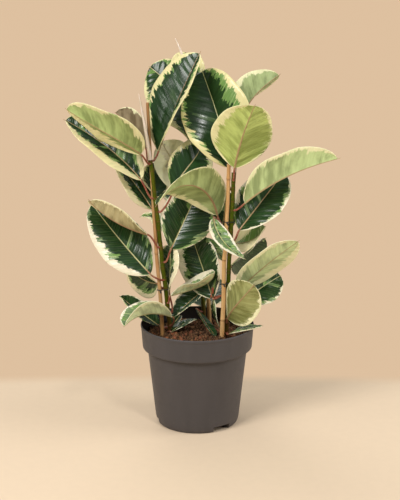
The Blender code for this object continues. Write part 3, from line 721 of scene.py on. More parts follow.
# ---- leaf shape -----------------------------------------------------------------------------
HALF_POINTS = 16             # points from the midrib to the margin on each face
RIB_POINTS = 4               # how many of those lie on the midrib
RIB_WIDTH = 0.0026
EDGE_WIDTH = 0.0004
PETIOLE_RINGS = 16
PETIOLE_STEPS = 4            # steps in which the petiole turns on its way to the blade
TIP_REACH = 1.03             # the drip tip ends this far along, in blade lengths
VEIN_SLANT = 0.62            # how far a lateral vein runs ahead for each metre out
VEIN_SPACING = 0.0058
TIP_HALF = 0.0011
WIDEST = 0.47                # where the blade is widest, from its base
CROWN = 0.055                # rise of each half between midrib and margin, in half widths
QUILT = 0.00040              # height of the swelling between lateral veins
QUILT_WAVES = (0.0125, 0.0231)
SWAY = 0.0011                # how far the margin waves up and down
SWAY_WAVE = 0.0125
MARGIN_WAVES = ((0.014, 0.017), (0.008, 0.0071))     # share of the width and length of each
GROOVE = ((0.0002, 0.0007), (-0.0004, 0.0020))       # the midrib's line and the dip round it
KEEL_WIDTH = 0.0013
FLARE = (0.45, 0.0035)       # how much wider the petiole is at the stem, and over what length
LEAD = (-0.0015, 0.0, 0.0012)    # the petiole's first rings: in the bark, at it and out of it


def half_width(u, width):
    """Half width at u: w/2 sin(pi u^a)^b up to the widest place, then a blunt oval, then a spur.

    The oval is w/2 (1 - x^c)^d, where x runs from 0 at the widest place to 1 at the tip.
    """
    skew, full = BLADE_SHAPE
    low = np.sin(np.pi * np.clip(u, 0, 1) ** skew) ** full
    x = np.clip((u - WIDEST) / (1 - WIDEST), 0, 1)
    high = (1 - x**2.1) ** 0.56
    spur = TIP_HALF * (1 - 0.75 * smoothstep(0.99, TIP_REACH, u)) * smoothstep(0.9, 0.97, u)
    return np.maximum(width / 2 * np.where(u < WIDEST, low, high), spur)


def petiole_curve(start, ahead, end, onward, steps):
    """Cubic from start to end that leaves along ahead and arrives along onward.

    Its end speeds fall where those directions point away from the straight line.
    """
    t = np.linspace(0, 1, steps)[:, None]
    reach = np.linalg.norm(end - start)
    line = (end - start) / reach
    ahead = unit(ahead + line * 0.8)
    go, come = (reach * (0.55 + 0.35 * float(np.dot(line, way))) for way in (ahead, onward))
    return ((2 * t**3 - 3 * t**2 + 1) * start + (t**3 - 2 * t**2 + t) * go * ahead
            + (3 * t**2 - 2 * t**3) * end + (t**3 - t**2) * come * onward)


def leaf_path(name, blade_rings):
    """Centre line and frames of petiole and blade.

    Heading, rise and roll run evenly from the blade's base to its tip, and the centre line is
    the running sum of the direction's unit vector times the step. The petiole is a cubic to
    the blade's base.
    """
    stem, height, headings, petiole, rises, length, _, _, roll, twist = LEAVES[name]
    p = np.linspace(0, 1, PETIOLE_STEPS + 1)
    u = (1 - np.cos(np.linspace(0, np.pi, blade_rings))) / 2 * TIP_REACH
    joint = at_height(STEM_PATHS[stem], height / 1000)
    first = vector(np.array(headings[0]), 0.0)
    tangent = vector(np.interp(p, [0, 1], headings[:2]), np.interp(p, [0, 1], rises[:2]))
    run = unit(tangent[1:] + tangent[:-1]).sum(0) * petiole / 1000 / PETIOLE_STEPS
    base = joint + first * (STEM_RADIUS + GAP + SOCKET_STEP) + run
    direct = unit((base - joint) * np.array([1.0, 1.0, 0.0]))
    outward = unit(direct + first * max(0.0, float(np.dot(direct, first))))
    if name in LEAVING:
        outward = vector(np.array(LEAVING[name]), 0.0)
    start = joint + outward * (STEM_RADIUS + GAP)
    socket = start + outward * SOCKET_STEP
    stalk = petiole_curve(socket, unit(outward + tangent[0]), base, tangent[-1], PETIOLE_RINGS)
    heading = headings[1] + (headings[2] - headings[1]) * u
    rise = rises[1] + (rises[2] - rises[1]) * u
    along = vector(heading, rise)
    step = np.diff(u)[:, None] * length / 1000
    blade = base + np.cumsum(unit(along[1:] + along[:-1]) * step, 0)
    up = vector(heading, rise + 90)
    side = np.cross(along, up)
    r = np.radians(roll + twist * u)[:, None]
    side, up = np.cos(r) * side - np.sin(r) * up, np.cos(r) * up + np.sin(r) * side
    lead = start + np.array(LEAD)[:, None] * outward
    level = np.tile(np.cross(outward, UP), (3, 1))
    share = smoothstep(0, 1, np.linspace(0, 1, PETIOLE_RINGS))[:, None]
    turning = level[0] * (1 - share) + side[0] * share
    flow = unit(np.gradient(stalk, axis=0))
    flow[-1] = along[0]
    turning = unit(turning - flow * np.sum(turning * flow, 1, keepdims=True))
    centre = np.concatenate([lead, stalk, blade])
    side = np.concatenate([level, turning, side[1:]])
    up = np.concatenate([np.tile(UP, (3, 1)), np.cross(turning, flow), up[1:]])
    u = np.concatenate([np.full(3, -1.0), np.linspace(-1, 0, PETIOLE_RINGS), u[1:]])
    dist = np.concatenate([[0], np.cumsum(np.linalg.norm(np.diff(centre, axis=0), axis=1))])
    return centre, side, up, u, dist - dist[PETIOLE_RINGS + 2]


def leaf_surface(name, number, blade_rings):
    """Rings of one leaf: the cross-section goes out along the upper face and back below.

    On the petiole it is a circle. On the blade each half rises at the fold angle with a slight
    crown, quilted between the lateral veins, and the midrib is a groove above and a rounded
    keel below. The two blend over the first millimetres of the blade.
    """
    centre, side, up, u, dist = leaf_path(name, blade_rings)
    width, fold = LEAVES[name][6] / 1000, math.radians(LEAVES[name][7])
    seed = number * 1.618
    (big, long), (small, short) = MARGIN_WAVES
    wave = 1 + big * np.sin(dist / long + seed) + small * np.sin(dist / short + 2 * seed)
    half = half_width(u, width) * np.where(u > 0, wave, 1)
    w = smoothstep(1.0, 4.5, half / PETIOLE_RADIUS)[:, None]
    j = np.arange(HALF_POINTS + 1)
    rib = np.minimum(RIB_WIDTH, half * 0.5)[:, None]
    inner = rib * np.minimum(j, RIB_POINTS) / RIB_POINTS
    outer = np.clip((j - RIB_POINTS) / (HALF_POINTS - 1 - RIB_POINTS), 0, 1)
    rim = np.minimum(EDGE_WIDTH, half * 0.2)[:, None]
    x = inner + (half[:, None] - rim - rib) * outer
    x[:, -1] = half
    tau = x / np.maximum(half[:, None], 1e-6)
    keel = KEEL * (1 - 0.6 * np.clip(u, 0, 1))[:, None] * w
    thick = BLADE_THICK / 2 * np.where(j == HALF_POINTS, 0.0, 1.0)
    groove = sum(high * bell(x, wide) for high, wide in GROOVE)
    crown = CROWN * half[:, None] * np.sin(np.pi * tau) * math.cos(fold)
    lift = np.sin(fold) * x
    round_x = PETIOLE_RADIUS * np.sin(np.pi / 2 * j / HALF_POINTS)
    round_y = PETIOLE_RADIUS * np.cos(np.pi / 2 * j / HALF_POINTS)
    flare = 1 + FLARE[0] * np.exp(-(dist - dist[0]) / FLARE[1])[:, None]
    tip = smoothstep(0.97, 1.0, u)[:, None]
    slim = (1 - 0.55 * tip) * np.where(u > 0, 0.55, 1.0)[:, None] ** tip
    flat = x * math.cos(fold)
    across = (1 - w) * round_x * flare + w * flat
    across = np.where((u > 0.5)[:, None], flat, across)
    sheets = []
    for sign in (-1, 1):
        vein = 2 * np.pi * (dist[:, None] - VEIN_SLANT * x)
        ripple = (np.sin(vein / QUILT_WAVES[0] + seed + sign)
                  + 0.5 * np.sin(vein / QUILT_WAVES[1] + sign * seed))
        quilt = QUILT * ripple * np.sin(np.pi * np.clip(tau, 0, 1)) ** 0.6
        sway = SWAY * np.sin(dist / SWAY_WAVE + seed * 2 + sign)[:, None] * tau**3
        middle = lift + crown + quilt + sway
        top = middle + thick + groove
        bottom = middle - thick - keel * bell(x, KEEL_WIDTH)
        sheets.append((sign * across, (1 - w) * round_y * flare * slim + w * top,
                       -(1 - w) * round_y * flare * slim + w * bottom, sign * tau, sign * x))
    (lx, lu, ld, lt, la), (rx, ru, rd, rt, ra) = sheets
    a, b, t, m = (np.concatenate([left[:, ::-1], right[:, 1:], under[:, -2::-1], back[:, 1:-1]], 1)
                  for left, right, under, back in
                  ((lx, rx, rx, lx), (lu, ru, rd, ld), (lt, rt, rt, lt), (la, ra, ra, la)))
    rings = centre[:, None] + side[:, None] * a[..., None] + up[:, None] * b[..., None]
    return rings, u, dist, t, m, seed


def make_leaf(name, number, blade_rings, mats):
    """One leaf as one closed surface, with its petiole, upper face and underside.

    The numbers that colour it go to its points: distance along and across, the shares of both,
    the shares at which the cream begins and the dark green ends, and the leaf's own tints.
    """
    rings, u, dist, t, m, seed = leaf_surface(name, number, blade_rings)
    rows, cols = t.shape
    column = np.tile(np.arange(cols), rows - 1)
    row = np.repeat(np.arange(rows - 1), cols)
    index = np.where(u[row] < 0, 2, np.where(column < 2 * HALF_POINTS, 0, 1))
    obj = tube_object(name, rings, mats, np.concatenate([index, np.full(2 * cols, 2)]))
    pale, dark, patches, warmth, rib, _ = LOOKS[name]
    left, right = (np.interp(np.clip(u, 0, 1), [0, 0.5, 1], shares)[:, None]
                   for shares in (pale[:3], pale[3:]))
    pale_from = np.where(t < 0, left, right)
    ripple = float(1.05 - 0.85 * smoothstep(300, 420, LEAVES[name][1]))
    layers = {"place": (dist[:, None], m, seed), "share": (u[:, None], t, ripple),
              "tones": (pale_from, pale_from * np.where(t < 0, dark[0], dark[1]), patches),
              "tint": (warmth, rib, 0.0)}
    for key, parts in layers.items():
        values = np.stack([np.broadcast_to(part, t.shape) for part in parts], -1).reshape(-1, 3)
        ends = np.stack([values[:cols].mean(0), values[-cols:].mean(0)])
        put(obj.data, key, np.concatenate([values, ends]))
    finish_piece(obj, "leaf", name)


class PLANT_PG_leaves(bpy.types.PropertyGroup):
    """Sizes and colours of the leaves."""
    blade_rings: IntProperty(name="Blade Rings", description="Cross-sections along each blade",
                             default=110, min=24, max=200)
    dark_green: FloatVectorProperty(name="Dark Green", description="Centre of the upper face",
                                    subtype="COLOR", size=3, default=(0.011, 0.034, 0.009))
    deep_green: FloatVectorProperty(name="Deep Green", description="Second tone of the centre",
                                    subtype="COLOR", size=3, default=(0.019, 0.056, 0.015))
    mid_green: FloatVectorProperty(name="Mid Green", description="Lobes between centre and cream",
                                   subtype="COLOR", size=3, default=(0.16, 0.30, 0.07))
    grey_green: FloatVectorProperty(name="Grey Green", description="Greyer lobes of old leaves",
                                    subtype="COLOR", size=3, default=(0.15, 0.22, 0.11))
    pale_green: FloatVectorProperty(name="Pale Green", description="Feathering and vein lines",
                                    subtype="COLOR", size=3, default=(0.42, 0.52, 0.22))
    yellow_cream: FloatVectorProperty(name="Yellow Cream", description="Margin of young leaves",
                                      subtype="COLOR", size=3, default=(0.80, 0.71, 0.32))
    white_cream: FloatVectorProperty(name="White Cream", description="Margin of old leaves",
                                     subtype="COLOR", size=3, default=(0.90, 0.83, 0.65))
    under_cream: FloatVectorProperty(name="Under Cream", description="Margin of the underside",
                                     subtype="COLOR", size=3, default=(0.93, 0.91, 0.60))
    rib_pale: FloatVectorProperty(name="Pale Midrib", description="Midrib of old leaves",
                                  subtype="COLOR", size=3, default=(0.50, 0.52, 0.24))
    rib_red: FloatVectorProperty(name="Red Midrib", description="Midrib of young leaves",
                                 subtype="COLOR", size=3, default=(0.36, 0.15, 0.085))
    petiole_red: FloatVectorProperty(name="Petiole", description="Leaf stalks",
                                     subtype="COLOR", size=3, default=(0.23, 0.045, 0.026))


class PLANT_OT_leaves(bpy.types.Operator):
    """Build every leaf with its petiole"""
    bl_idname = "plant.leaves"
    bl_label = "Leaves"

    def execute(self, context):
        """One upper face and one petiole for all leaves, and an underside for each tone."""
        settings = context.scene.plant_leaves
        upper = upper_material(settings)
        stalk = petiole_material(settings)
        under = {tone: under_material(settings, tone) for tone in UNDERSIDES}
        for number, name in enumerate(LEAVES, 1):
            mats = [upper, under[LOOKS[name][-1]], stalk]
            make_leaf(name, number, settings.blade_rings, mats)
        return {"FINISHED"}


# ---- stems, canes, ties, growing tips -------------------------------------------------------
STALK_SIDES = 24
STEM_RINGS, CANE_RINGS = 260, 320
SHEATH_RINGS, SHEATH_SIDES = 60, 20
TIE_POINTS, WIRE_SIDES = 64, 10
TIE_END_STEPS, TIE_END_SIDES = 40, 8
TIE_END_LENGTH = 0.0085
TIE_TURNS = 3
TIE_TWIST = 0.0007           # radius of the helix that each end follows
OLD_SCARS = 9                # leaf scars on each stem besides its joints
SCAR_WIDTH = 0.0011
JOINT_SWELL = (0.10, 0.0024)     # share of the radius, and width of the bell
NODE_SWELL = (0.00055, 0.0030)   # height and width of each swollen node of a cane
NODE_LINE = (0.00050, 0.0007)    # depth and width of the groove below it
NODE_DROP = 0.0022               # how far below
NODE_SHADE = 0.0012              # width of the dark line along the groove
BUD_RADIUS = 0.0006
BUD_SPREAD = 0.17                # width of the spindle's bell, as a share of its length
WIRE_BLACK = (0.012, 0.014, 0.013)
BUD_RED = (0.42, 0.095, 0.048)
# Rings of a cane's hollow top: how far in from the edge, how far up, and how much painted shade
# darkens them.
CANE_MOUTH = ((0.12, 0.0003, 0.0), (0.42, 0.0002, 0.35), (0.50, -0.0100, 1.0))


class PLANT_PG_growth(bpy.types.PropertyGroup):
    """Colours of stems, canes and growing tips, and the ties' wire."""
    stem_green: FloatVectorProperty(name="Stem Green", description="Young bark",
                                    subtype="COLOR", size=3, default=(0.052, 0.078, 0.0015))
    stem_olive: FloatVectorProperty(name="Stem Olive", description="Second tone of young bark",
                                    subtype="COLOR", size=3, default=(0.086, 0.095, 0.003))
    stem_brown: FloatVectorProperty(name="Stem Brown", description="Old bark and leaf scars",
                                    subtype="COLOR", size=3, default=(0.13, 0.055, 0.02))
    cane_tan: FloatVectorProperty(name="Cane Tan", description="Bamboo",
                                  subtype="COLOR", size=3, default=(0.56, 0.30, 0.11))
    cane_pale: FloatVectorProperty(name="Cane Pale", description="Lighter bamboo",
                                   subtype="COLOR", size=3, default=(0.70, 0.44, 0.19))
    cane_brown: FloatVectorProperty(name="Cane Brown", description="Bamboo fibres and nodes",
                                    subtype="COLOR", size=3, default=(0.26, 0.11, 0.04))
    # Weathered bamboo, and on the left cane also painted shade and a painted stem shadow.
    cane_stain_and_shade: FloatVectorProperty(name="Cane Stain", description="Weathered bamboo",
                                    subtype="COLOR", size=3, default=(0.33, 0.15, 0.058))
    wire_radius: FloatProperty(name="Wire Radius", description="Radius of the tie wire",
                               default=0.0008, min=0.0003, max=0.002, unit="LENGTH")
    sheath: FloatVectorProperty(name="Sheath", description="Sheath of the growing tip",
                                subtype="COLOR", size=3, default=(0.92, 0.74, 0.64))


class PLANT_OT_stems(bpy.types.Operator):
    """Build the three stems with a swelling and a scar at each leaf joint"""
    bl_idname = "plant.stems"
    bl_label = "Stems"

    def execute(self, context):
        """Each radius tapers evenly and swells in a bell curve at every joint and old scar."""
        mat = stem_material(context.scene.plant_growth)
        for side, points in STEM_PATHS.items():
            path = curve_through(points, STEM_RINGS)
            joints = np.array([leaf[1] for leaf in LEAVES.values() if leaf[0] == side]) / 1000
            extra = np.linspace(points[1][2] + 0.012, points[-1][2] - 0.02, OLD_SCARS)
            marks = np.concatenate([joints, extra])
            gap = np.abs(path[:, 2:3] - marks[None]).min(1)
            taper = 1 + (STEM_TAPER - 1) * np.linspace(0, 1, len(path))
            radius = STEM_RADIUS * taper * (1 + JOINT_SWELL[0] * bell(gap, JOINT_SWELL[1]))
            name = "stem_" + side
            obj = tube_object(name, tube(path, radius, STALK_SIDES), [mat])
            put_rings(obj, "scar", STALK_SIDES, [bell(gap, SCAR_WIDTH)])
            finish_piece(obj, "stem_bark", name)
        return {"FINISHED"}


class PLANT_OT_canes(bpy.types.Operator):
    """Build the bamboo canes with swollen nodes and hollow cut tops"""
    bl_idname = "plant.canes"
    bl_label = "Canes"

    def execute(self, context):
        """Each radius tapers evenly, swells in a bell curve at a node and dips below it."""
        mat = bamboo_material(context.scene.plant_growth)
        for side, points in CANE_PATHS.items():
            path = curve_through(points, CANE_RINGS)
            z = path[:, 2]
            low, high = CANE_RADIUS[side]
            off = z[:, None] - np.array(CANE_NODES[side])[None]
            radius = low + (high - low) * np.linspace(0, 1, len(path))
            radius = (radius + NODE_SWELL[0] * bell(off, NODE_SWELL[1]).sum(1)
                      - NODE_LINE[0] * bell(off + NODE_DROP, NODE_LINE[1]).sum(1))
            scar = np.clip(bell(off + NODE_DROP, NODE_SHADE).sum(1), 0, 1)
            rings = tube(path, radius, STALK_SIDES)
            edge = rings[-1]
            mouth = [edge + (path[-1] - edge) * inward + UP * raised
                     for inward, raised, _ in CANE_MOUTH]
            # On the left cane the stain is partly real weathering and partly painted shade: the
            # heavier stain towards the top stands in for shade, and the band from 0.22 to 0.42 m
            # up is a painted stem shadow.
            stain_and_shade = 0.0 * z
            if side == "left":
                stain_and_shade = 0.25 + 0.65 * smoothstep(z[-1] - 0.16, z[-1] - 0.04, z)
                stain_and_shade += 0.45 * smoothstep(0.22, 0.24, z) * (1 - smoothstep(0.36, 0.42, z))
            name = "cane_" + side
            obj = tube_object(name, np.concatenate([rings, np.array(mouth)]), [mat])
            none = np.zeros(len(CANE_MOUTH))
            # How much painted shade each ring of the hollow top gets.
            cut = [share for _, _, share in CANE_MOUTH]
            columns = [np.append(scar, none), np.append(0 * z, cut), np.append(stain_and_shade, none)]
            put_rings(obj, "scar", STALK_SIDES, columns, last=(0, 1, 0))
            finish_piece(obj, "bamboo", name)
        return {"FINISHED"}


def tie_loop(side, height, wire):
    """Closed loop around stem and cane: a stadium whose ends are circles about each."""
    stem, cane = at_height(STEM_PATHS[side], height), at_height(CANE_PATHS[side], height)
    across = unit(cane - stem)
    normal = np.cross(UP, across)
    v = np.linspace(0, 2 * np.pi, TIE_POINTS, endpoint=False) + 0.01
    direction = np.cos(v)[:, None] * across + np.sin(v)[:, None] * normal
    on_cane = (np.cos(v) > 0)[:, None]
    reach_cane = max(CANE_RADIUS[side]) + wire + GAP
    reach_stem = STEM_RADIUS + wire + GAP
    points = np.where(on_cane, cane + direction * reach_cane, stem + direction * reach_stem)
    points = points + UP * (0.0008 * np.sin(v + 0.6))[:, None]
    tangent = unit(np.roll(points, -1, 0) - np.roll(points, 1, 0))
    first = unit(direction - tangent * np.sum(direction * tangent, 1, keepdims=True))
    rings = circles(points, wire, first, np.cross(tangent, first), WIRE_SIDES)
    return rings, points[np.argmin(points[:, 1])]


class PLANT_OT_ties(bpy.types.Operator):
    """Build the wire ties, each a loop with its two ends twisted together"""
    bl_idname = "plant.ties"
    bl_label = "Ties"

    def execute(self, context):
        """The loop is a tube round a stadium, and each end is a tube round a helix."""
        wire = context.scene.plant_growth.wire_radius
        mat = plain_material("tie_wire", WIRE_BLACK, 0.42, 0.2, 900.0, 0.0001)
        s = np.linspace(0, 1, TIE_END_STEPS)
        end = np.outer(s, TIE_END) * TIE_END_LENGTH
        for side, heights in TIE_HEIGHTS.items():
            for number, height in enumerate(heights, 1):
                rings, front = tie_loop(side, height, wire)
                verts = rings.reshape(-1, 3)
                quads = ring_quads(TIE_POINTS, WIRE_SIDES, closed=True)
                if volume(verts, quads) < 0:
                    quads = quads[:, ::-1]
                parts = [(verts, quads, np.zeros((0, 3), int))]
                for phase in (0, np.pi):
                    turn = 2 * np.pi * TIE_TURNS * s + phase
                    twist = TIE_TWIST * np.stack([np.cos(turn), 0 * s, np.sin(turn)], -1)
                    rings = tube(front + end + twist, wire * 0.8, TIE_END_SIDES)
                    parts.append(closed_tube(rings))
                name = f"tie_{side}_{number}"
                finish_piece(solid_object(name, join(parts), [mat]), "tie_wire", name)
        return {"FINISHED"}


class PLANT_OT_tips(bpy.types.Operator):
    """Build the pointed sheaths of the growing tips and one small side bud"""
    bl_idname = "plant.tips"
    bl_label = "Growing Tips"

    def execute(self, context):
        """A sheath's radius falls as (1 - s^1.4)^0.75, and a seam winds round it as a groove."""
        sheath = sheath_material(context.scene.plant_growth)
        for side, points in SHEATH_PATHS.items():
            path = curve_through(points, SHEATH_RINGS)
            s = np.linspace(0, 1, len(path))
            radius = SHEATH_RADIUS * 1.16 * (1 - s**1.4) ** 0.75 + 0.00035
            v = np.linspace(0, 2 * np.pi, SHEATH_SIDES, endpoint=False)
            seam = bell(v[None] - 2.2 - 2.4 * s[:, None], 0.35)[..., None]
            centre = path[:, None]
            rings = centre + (tube(path, radius, SHEATH_SIDES) - centre) * (1 - 0.18 * seam)
            name = "bud_sheath_" + side
            finish_piece(tube_object(name, rings, [sheath]), "bud_sheath", name)
        self.side_bud()
        return {"FINISHED"}

    def side_bud(self):
        """A small red shoot on a petiole: a curved tapering spindle and one thin stalk.

        Each centre line is a smooth curve through a few points; the spindle's radius is a
        bell curve of the share along it, added to a thin stalk's constant radius.
        """
        mat = plain_material("side_bud", BUD_RED, 0.5, 0.3, 500.0, 0.0003)
        centre, _, _, u, _ = leaf_path("leaf_right_10", 24)
        root = centre[np.argmax(u >= 0)] + np.array([0.0, -0.0012, 0.0])
        s = np.linspace(0, 1, 24)
        parts = []
        for points, fat, peak in SIDE_BUD:
            path = curve_through(root + np.array(points), len(s))
            radius = BUD_RADIUS + fat * bell(s - peak, BUD_SPREAD)
            parts.append(closed_tube(tube(path, radius, 12)))
        finish_piece(solid_object("side_bud", join(parts), [mat]), "bud_sheath")


# ---- soil -----------------------------------------------------------------------------------
GROUND_SIDES = 160
GROUND_RINGS = 90
GROUND_RADIUS = BAND_BOTTOM_RADIUS - 0.0027
ROOT_BALL = ((GROUND_RADIUS, 0.155), (0.0898, 0.146), (0.0743, FLOOR_TOP + GAP),
             (0.0400, FLOOR_TOP + GAP))
HEAP = (0.0030, 0.045, 0.099)    # how far it falls to the wall, and between which radii
LUMPS = ((0.0060, 3, 0.034), (0.0048, 4, 0.012), (0.0026, 5, 0.0048))   # height, seed, scale
LUMP_WAVES = 14
CRUMBS = 2500
CRUMB_ROWS, CRUMB_COLS = 5, 7
CRUMB_SIZES = (0.0008, 0.0018)
CRUMB_REACH = 0.097          # how far from the middle crumbs lie
FIBRE = (0.0042, 0.00022, 0.00022)
FIBRE_SHARE = 0.16
BARK_SHARE = 0.18
BARK_BROWN = (0.20, 0.065, 0.025)
FIBRE_TAN = (0.36, 0.20, 0.09)


def lumps(x, y, seed, scale):
    """Rolling ground: the mean of sine waves of random heading and phase, about one scale long."""
    rng = np.random.default_rng(seed)
    angle = rng.uniform(0, 2 * np.pi, LUMP_WAVES)
    k = 2 * np.pi / (scale * rng.uniform(0.6, 1.5, LUMP_WAVES))
    phase = rng.uniform(0, 2 * np.pi, LUMP_WAVES)
    wave = np.sin(x[..., None] * np.cos(angle) * k + y[..., None] * np.sin(angle) * k + phase)
    return wave.mean(-1)


def soil_height(x, y):
    """Height of the ground: a low heap with lumps of three sizes."""
    fall, start, end = HEAP
    heap = -fall * smoothstep(start, end, np.hypot(x, y))
    rough = sum(high * lumps(x, y, seed, scale) for high, seed, scale in LUMPS)
    return SOIL_TOP + heap + rough - 0.0006


class PLANT_OT_soil(bpy.types.Operator):
    """Build the lumpy soil and the crumbs and fibres on it"""
    bl_idname = "plant.soil"
    bl_label = "Soil"

    def execute(self, context):
        """The ground first, then the crumbs that lie on it."""
        settings = context.scene.plant_pot
        self.ground(soil_material("soil", settings, 0.0))
        self.crumbs([soil_material("soil_crumbs", settings, 60.0),
                     plain_material("soil_bark", BARK_BROWN, 0.8, 0.5, 600.0, 0.0006),
                     plain_material("soil_fibres", FIBRE_TAN, 0.8, 0.4, 600.0, 0.0003)])
        return {"FINISHED"}

    def ground(self, mat):
        """Rings from the middle out to the wall, as high as the lumps, then the root ball's side
        and underside, closed at a pole."""
        v = np.linspace(0, 2 * np.pi, GROUND_SIDES, endpoint=False)
        r = np.linspace(0.0004, GROUND_RADIUS, GROUND_RINGS)
        top = around(r[:, None], v, 0.0)
        top[..., 2] = soil_height(top[..., 0], top[..., 1])
        r, z = np.array(ROOT_BALL).T[..., None]
        obj = tube_object("potting_soil", np.concatenate([top, around(r, v, z)]), [mat])
        finish_piece(obj, "soil", "potting_soil")

    def crumbs(self, mats):
        """Rough balls and short fibres, each a sphere's points stretched, shaken and turned."""
        rng = np.random.default_rng(11)
        parts, kinds = [], []
        rows, cols = CRUMB_ROWS, CRUMB_COLS
        phi = np.linspace(0.35, np.pi - 0.35, rows)[:, None]
        v = np.linspace(0, 2 * np.pi, cols, endpoint=False)
        ball = around(np.sin(phi), v, np.cos(phi))
        for _ in range(CRUMBS):
            r, a = CRUMB_REACH * math.sqrt(rng.uniform()), rng.uniform(0, 2 * math.pi)
            x, y = r * math.cos(a), r * math.sin(a)
            fibre = rng.uniform() < FIBRE_SHARE
            size = rng.uniform(*CRUMB_SIZES) * (1 + 2.4 * rng.uniform() ** 4)
            stretch = FIBRE if fibre else size * rng.uniform(0.7, 1.5, 3)
            rough = 0.0 if fibre else 0.22
            shape = ball * np.array(stretch) * (1 + rough * rng.uniform(-1, 1, (rows, cols, 1)))
            spin, lean = rng.uniform(0, 2 * math.pi), rng.uniform(-0.35, 0.35)
            c, s = math.cos(spin), math.sin(spin)
            tilt = np.array([[math.cos(lean), 0, -math.sin(lean)], [0, 1, 0],
                             [math.sin(lean), 0, math.cos(lean)]])
            turn = np.array([[c, -s, 0], [s, c, 0], [0, 0, 1]]) @ tilt
            ground = float(soil_height(np.array(x), np.array(y)))
            parts.append(closed_tube(shape @ turn.T + np.array([x, y, ground + 0.0005])))
            kinds.append(2 if fibre else int(rng.uniform() < BARK_SHARE))
        kind = np.concatenate([np.repeat(kinds, (rows - 1) * cols), np.repeat(kinds, 2 * cols)])
        finish_piece(solid_object("soil_crumbs", join(parts), mats, kind), "soil")


# ---- pot ------------------------------------------------------------------------------------
POT_SIDES = 240
NOTCH_EDGES = (-0.012, -0.004, 0.004, 0.012)     # extra points across each side of a notch


class PLANT_PG_pot(bpy.types.PropertyGroup):
    """Sizes and colours of the pot and its soil."""
    height: FloatProperty(name="Height", description="Height of the pot",
                          default=0.190, min=0.1, max=0.4, unit="LENGTH")
    rim_radius: FloatProperty(name="Rim Radius", description="Outer radius of the rim",
                              default=0.105, min=0.05, max=0.3, unit="LENGTH")
    wall: FloatProperty(name="Wall", description="Thickness of the wall",
                        default=0.0022, min=0.001, max=0.006, unit="LENGTH")
    color: FloatVectorProperty(name="Plastic", description="Colour of the pot",
                               subtype="COLOR", size=3, default=(0.0620, 0.0560, 0.0575))
    soil_dark_and_shade: FloatVectorProperty(name="Dark Soil", description="Hollows of the soil",
                                   # Dark peat, also painted shade in the soil's hollows.
                                   subtype="COLOR", size=3, default=(0.018, 0.008, 0.005))
    soil_brown: FloatVectorProperty(name="Brown Soil", description="Peat crumbs",
                                    subtype="COLOR", size=3, default=(0.25, 0.125, 0.060))
    soil_fibre: FloatVectorProperty(name="Fibre", description="Coir fibres in the soil",
                                    subtype="COLOR", size=3, default=(0.46, 0.27, 0.15))


def pot_profile(pot):
    """Radius and height from the middle of the underside round the rim to the inner floor.

    Each corner holds its radius, its height and the number of even steps that lead to it.
    """
    top, band = pot.height, pot.height - BAND_HEIGHT
    rim, mouth = pot.rim_radius, pot.rim_radius - pot.wall
    roof = FOOT_RADIUS - NOTCH_DEPTH
    start = (0.040, 0.0)
    corners = [
        (*start, 1), (roof, 0.0, 4), (roof + 0.0004, 0.0, 1),
        (0.0705, 0.0, 2), (0.0735, 0.0008, 3), (0.0755, 0.0030, 3), (0.0768, 0.0065, 3),
        (0.0778, NOTCH_HEIGHT, 1), (0.0779, NOTCH_HEIGHT + 0.0006, 1),
        (0.0915, band - 0.010, 24), (0.0920, band - 0.0025, 3), (0.0928, band - 0.0005, 2),
        (0.0945, band, 2), (BAND_BOTTOM_RADIUS - 0.0014, band + 0.0002, 3),
        (BAND_BOTTOM_RADIUS - 0.0004, band + 0.0010, 2), (BAND_BOTTOM_RADIUS, band + 0.0028, 2),
        (rim - 0.0009, top - 0.0060, 12), (rim - 0.0002, top - 0.0042, 2),
        (rim, top - 0.0022, 2), (rim - 0.0003, top - 0.0007, 2), (rim - 0.0010, top, 2),
        (mouth + 0.0006, top, 2), (mouth, top - 0.0007, 2),
        (BAND_BOTTOM_RADIUS - pot.wall, band + 0.0050, 10),
        (BODY_TOP_RADIUS - pot.wall, band - 0.001, 3),
        (0.0755, FLOOR_TOP, 12), (0.0004, FLOOR_TOP, 6)]
    profile = [(0.0004, 0.0), start]
    for (r0, z0, _), (r1, z1, steps) in zip(corners, corners[1:]):
        t = np.arange(1, steps + 1) / steps
        profile += list(zip(r0 + (r1 - r0) * t, z0 + (z1 - z0) * t))
    return np.array(profile)


class PLANT_OT_pot(bpy.types.Operator):
    """Build the thin-walled pot with its band and notched foot"""
    bl_idname = "plant.pot"
    bl_label = "Pot"

    def execute(self, context):
        """Revolve the profile; inside a notch's headings the foot is lifted to its roof."""
        pot = context.scene.plant_pot
        profile = pot_profile(pot)
        base = np.linspace(0, 2 * np.pi, POT_SIDES, endpoint=False)
        half = NOTCH_WIDTH / 2 / FOOT_RADIUS
        edges = [math.radians(heading) + side * (half + edge) for heading in NOTCH_HEADINGS
                 for side in (-1, 1) for edge in NOTCH_EDGES]
        v = np.sort(np.unique(np.round(np.mod(np.concatenate([base, edges]), 2 * np.pi), 5)))
        off = np.abs((v[:, None] - np.radians(NOTCH_HEADINGS) + np.pi) % (2 * np.pi) - np.pi)
        notch = 1 - smoothstep(half - 0.004, half + 0.004, off.min(1))
        r, z = profile.T[..., None]
        foot = (r > FOOT_RADIUS - NOTCH_DEPTH + 0.0002) & (z < NOTCH_HEIGHT)
        hollow = np.where(foot & (r < FOOT_RADIUS - 0.003), notch, 0)
        z = np.where(foot, z + (NOTCH_HEIGHT - z) * notch, z)
        obj = tube_object("pot", around(r, v, z), [pot_material(pot)])
        # Painted shade: the inner wall below the rim and each notch's recess are marked for
        # darkening towards black.
        after_rim = np.arange(len(profile)) > np.argmax(profile[:, 1]) + 3
        shade = np.maximum(after_rim[:, None], hollow)
        put_rings(obj, "inside", len(v), [shade], last=(1, 0, 0))
        finish_piece(obj, "pot_plastic", "pot")
        return {"FINISHED"}


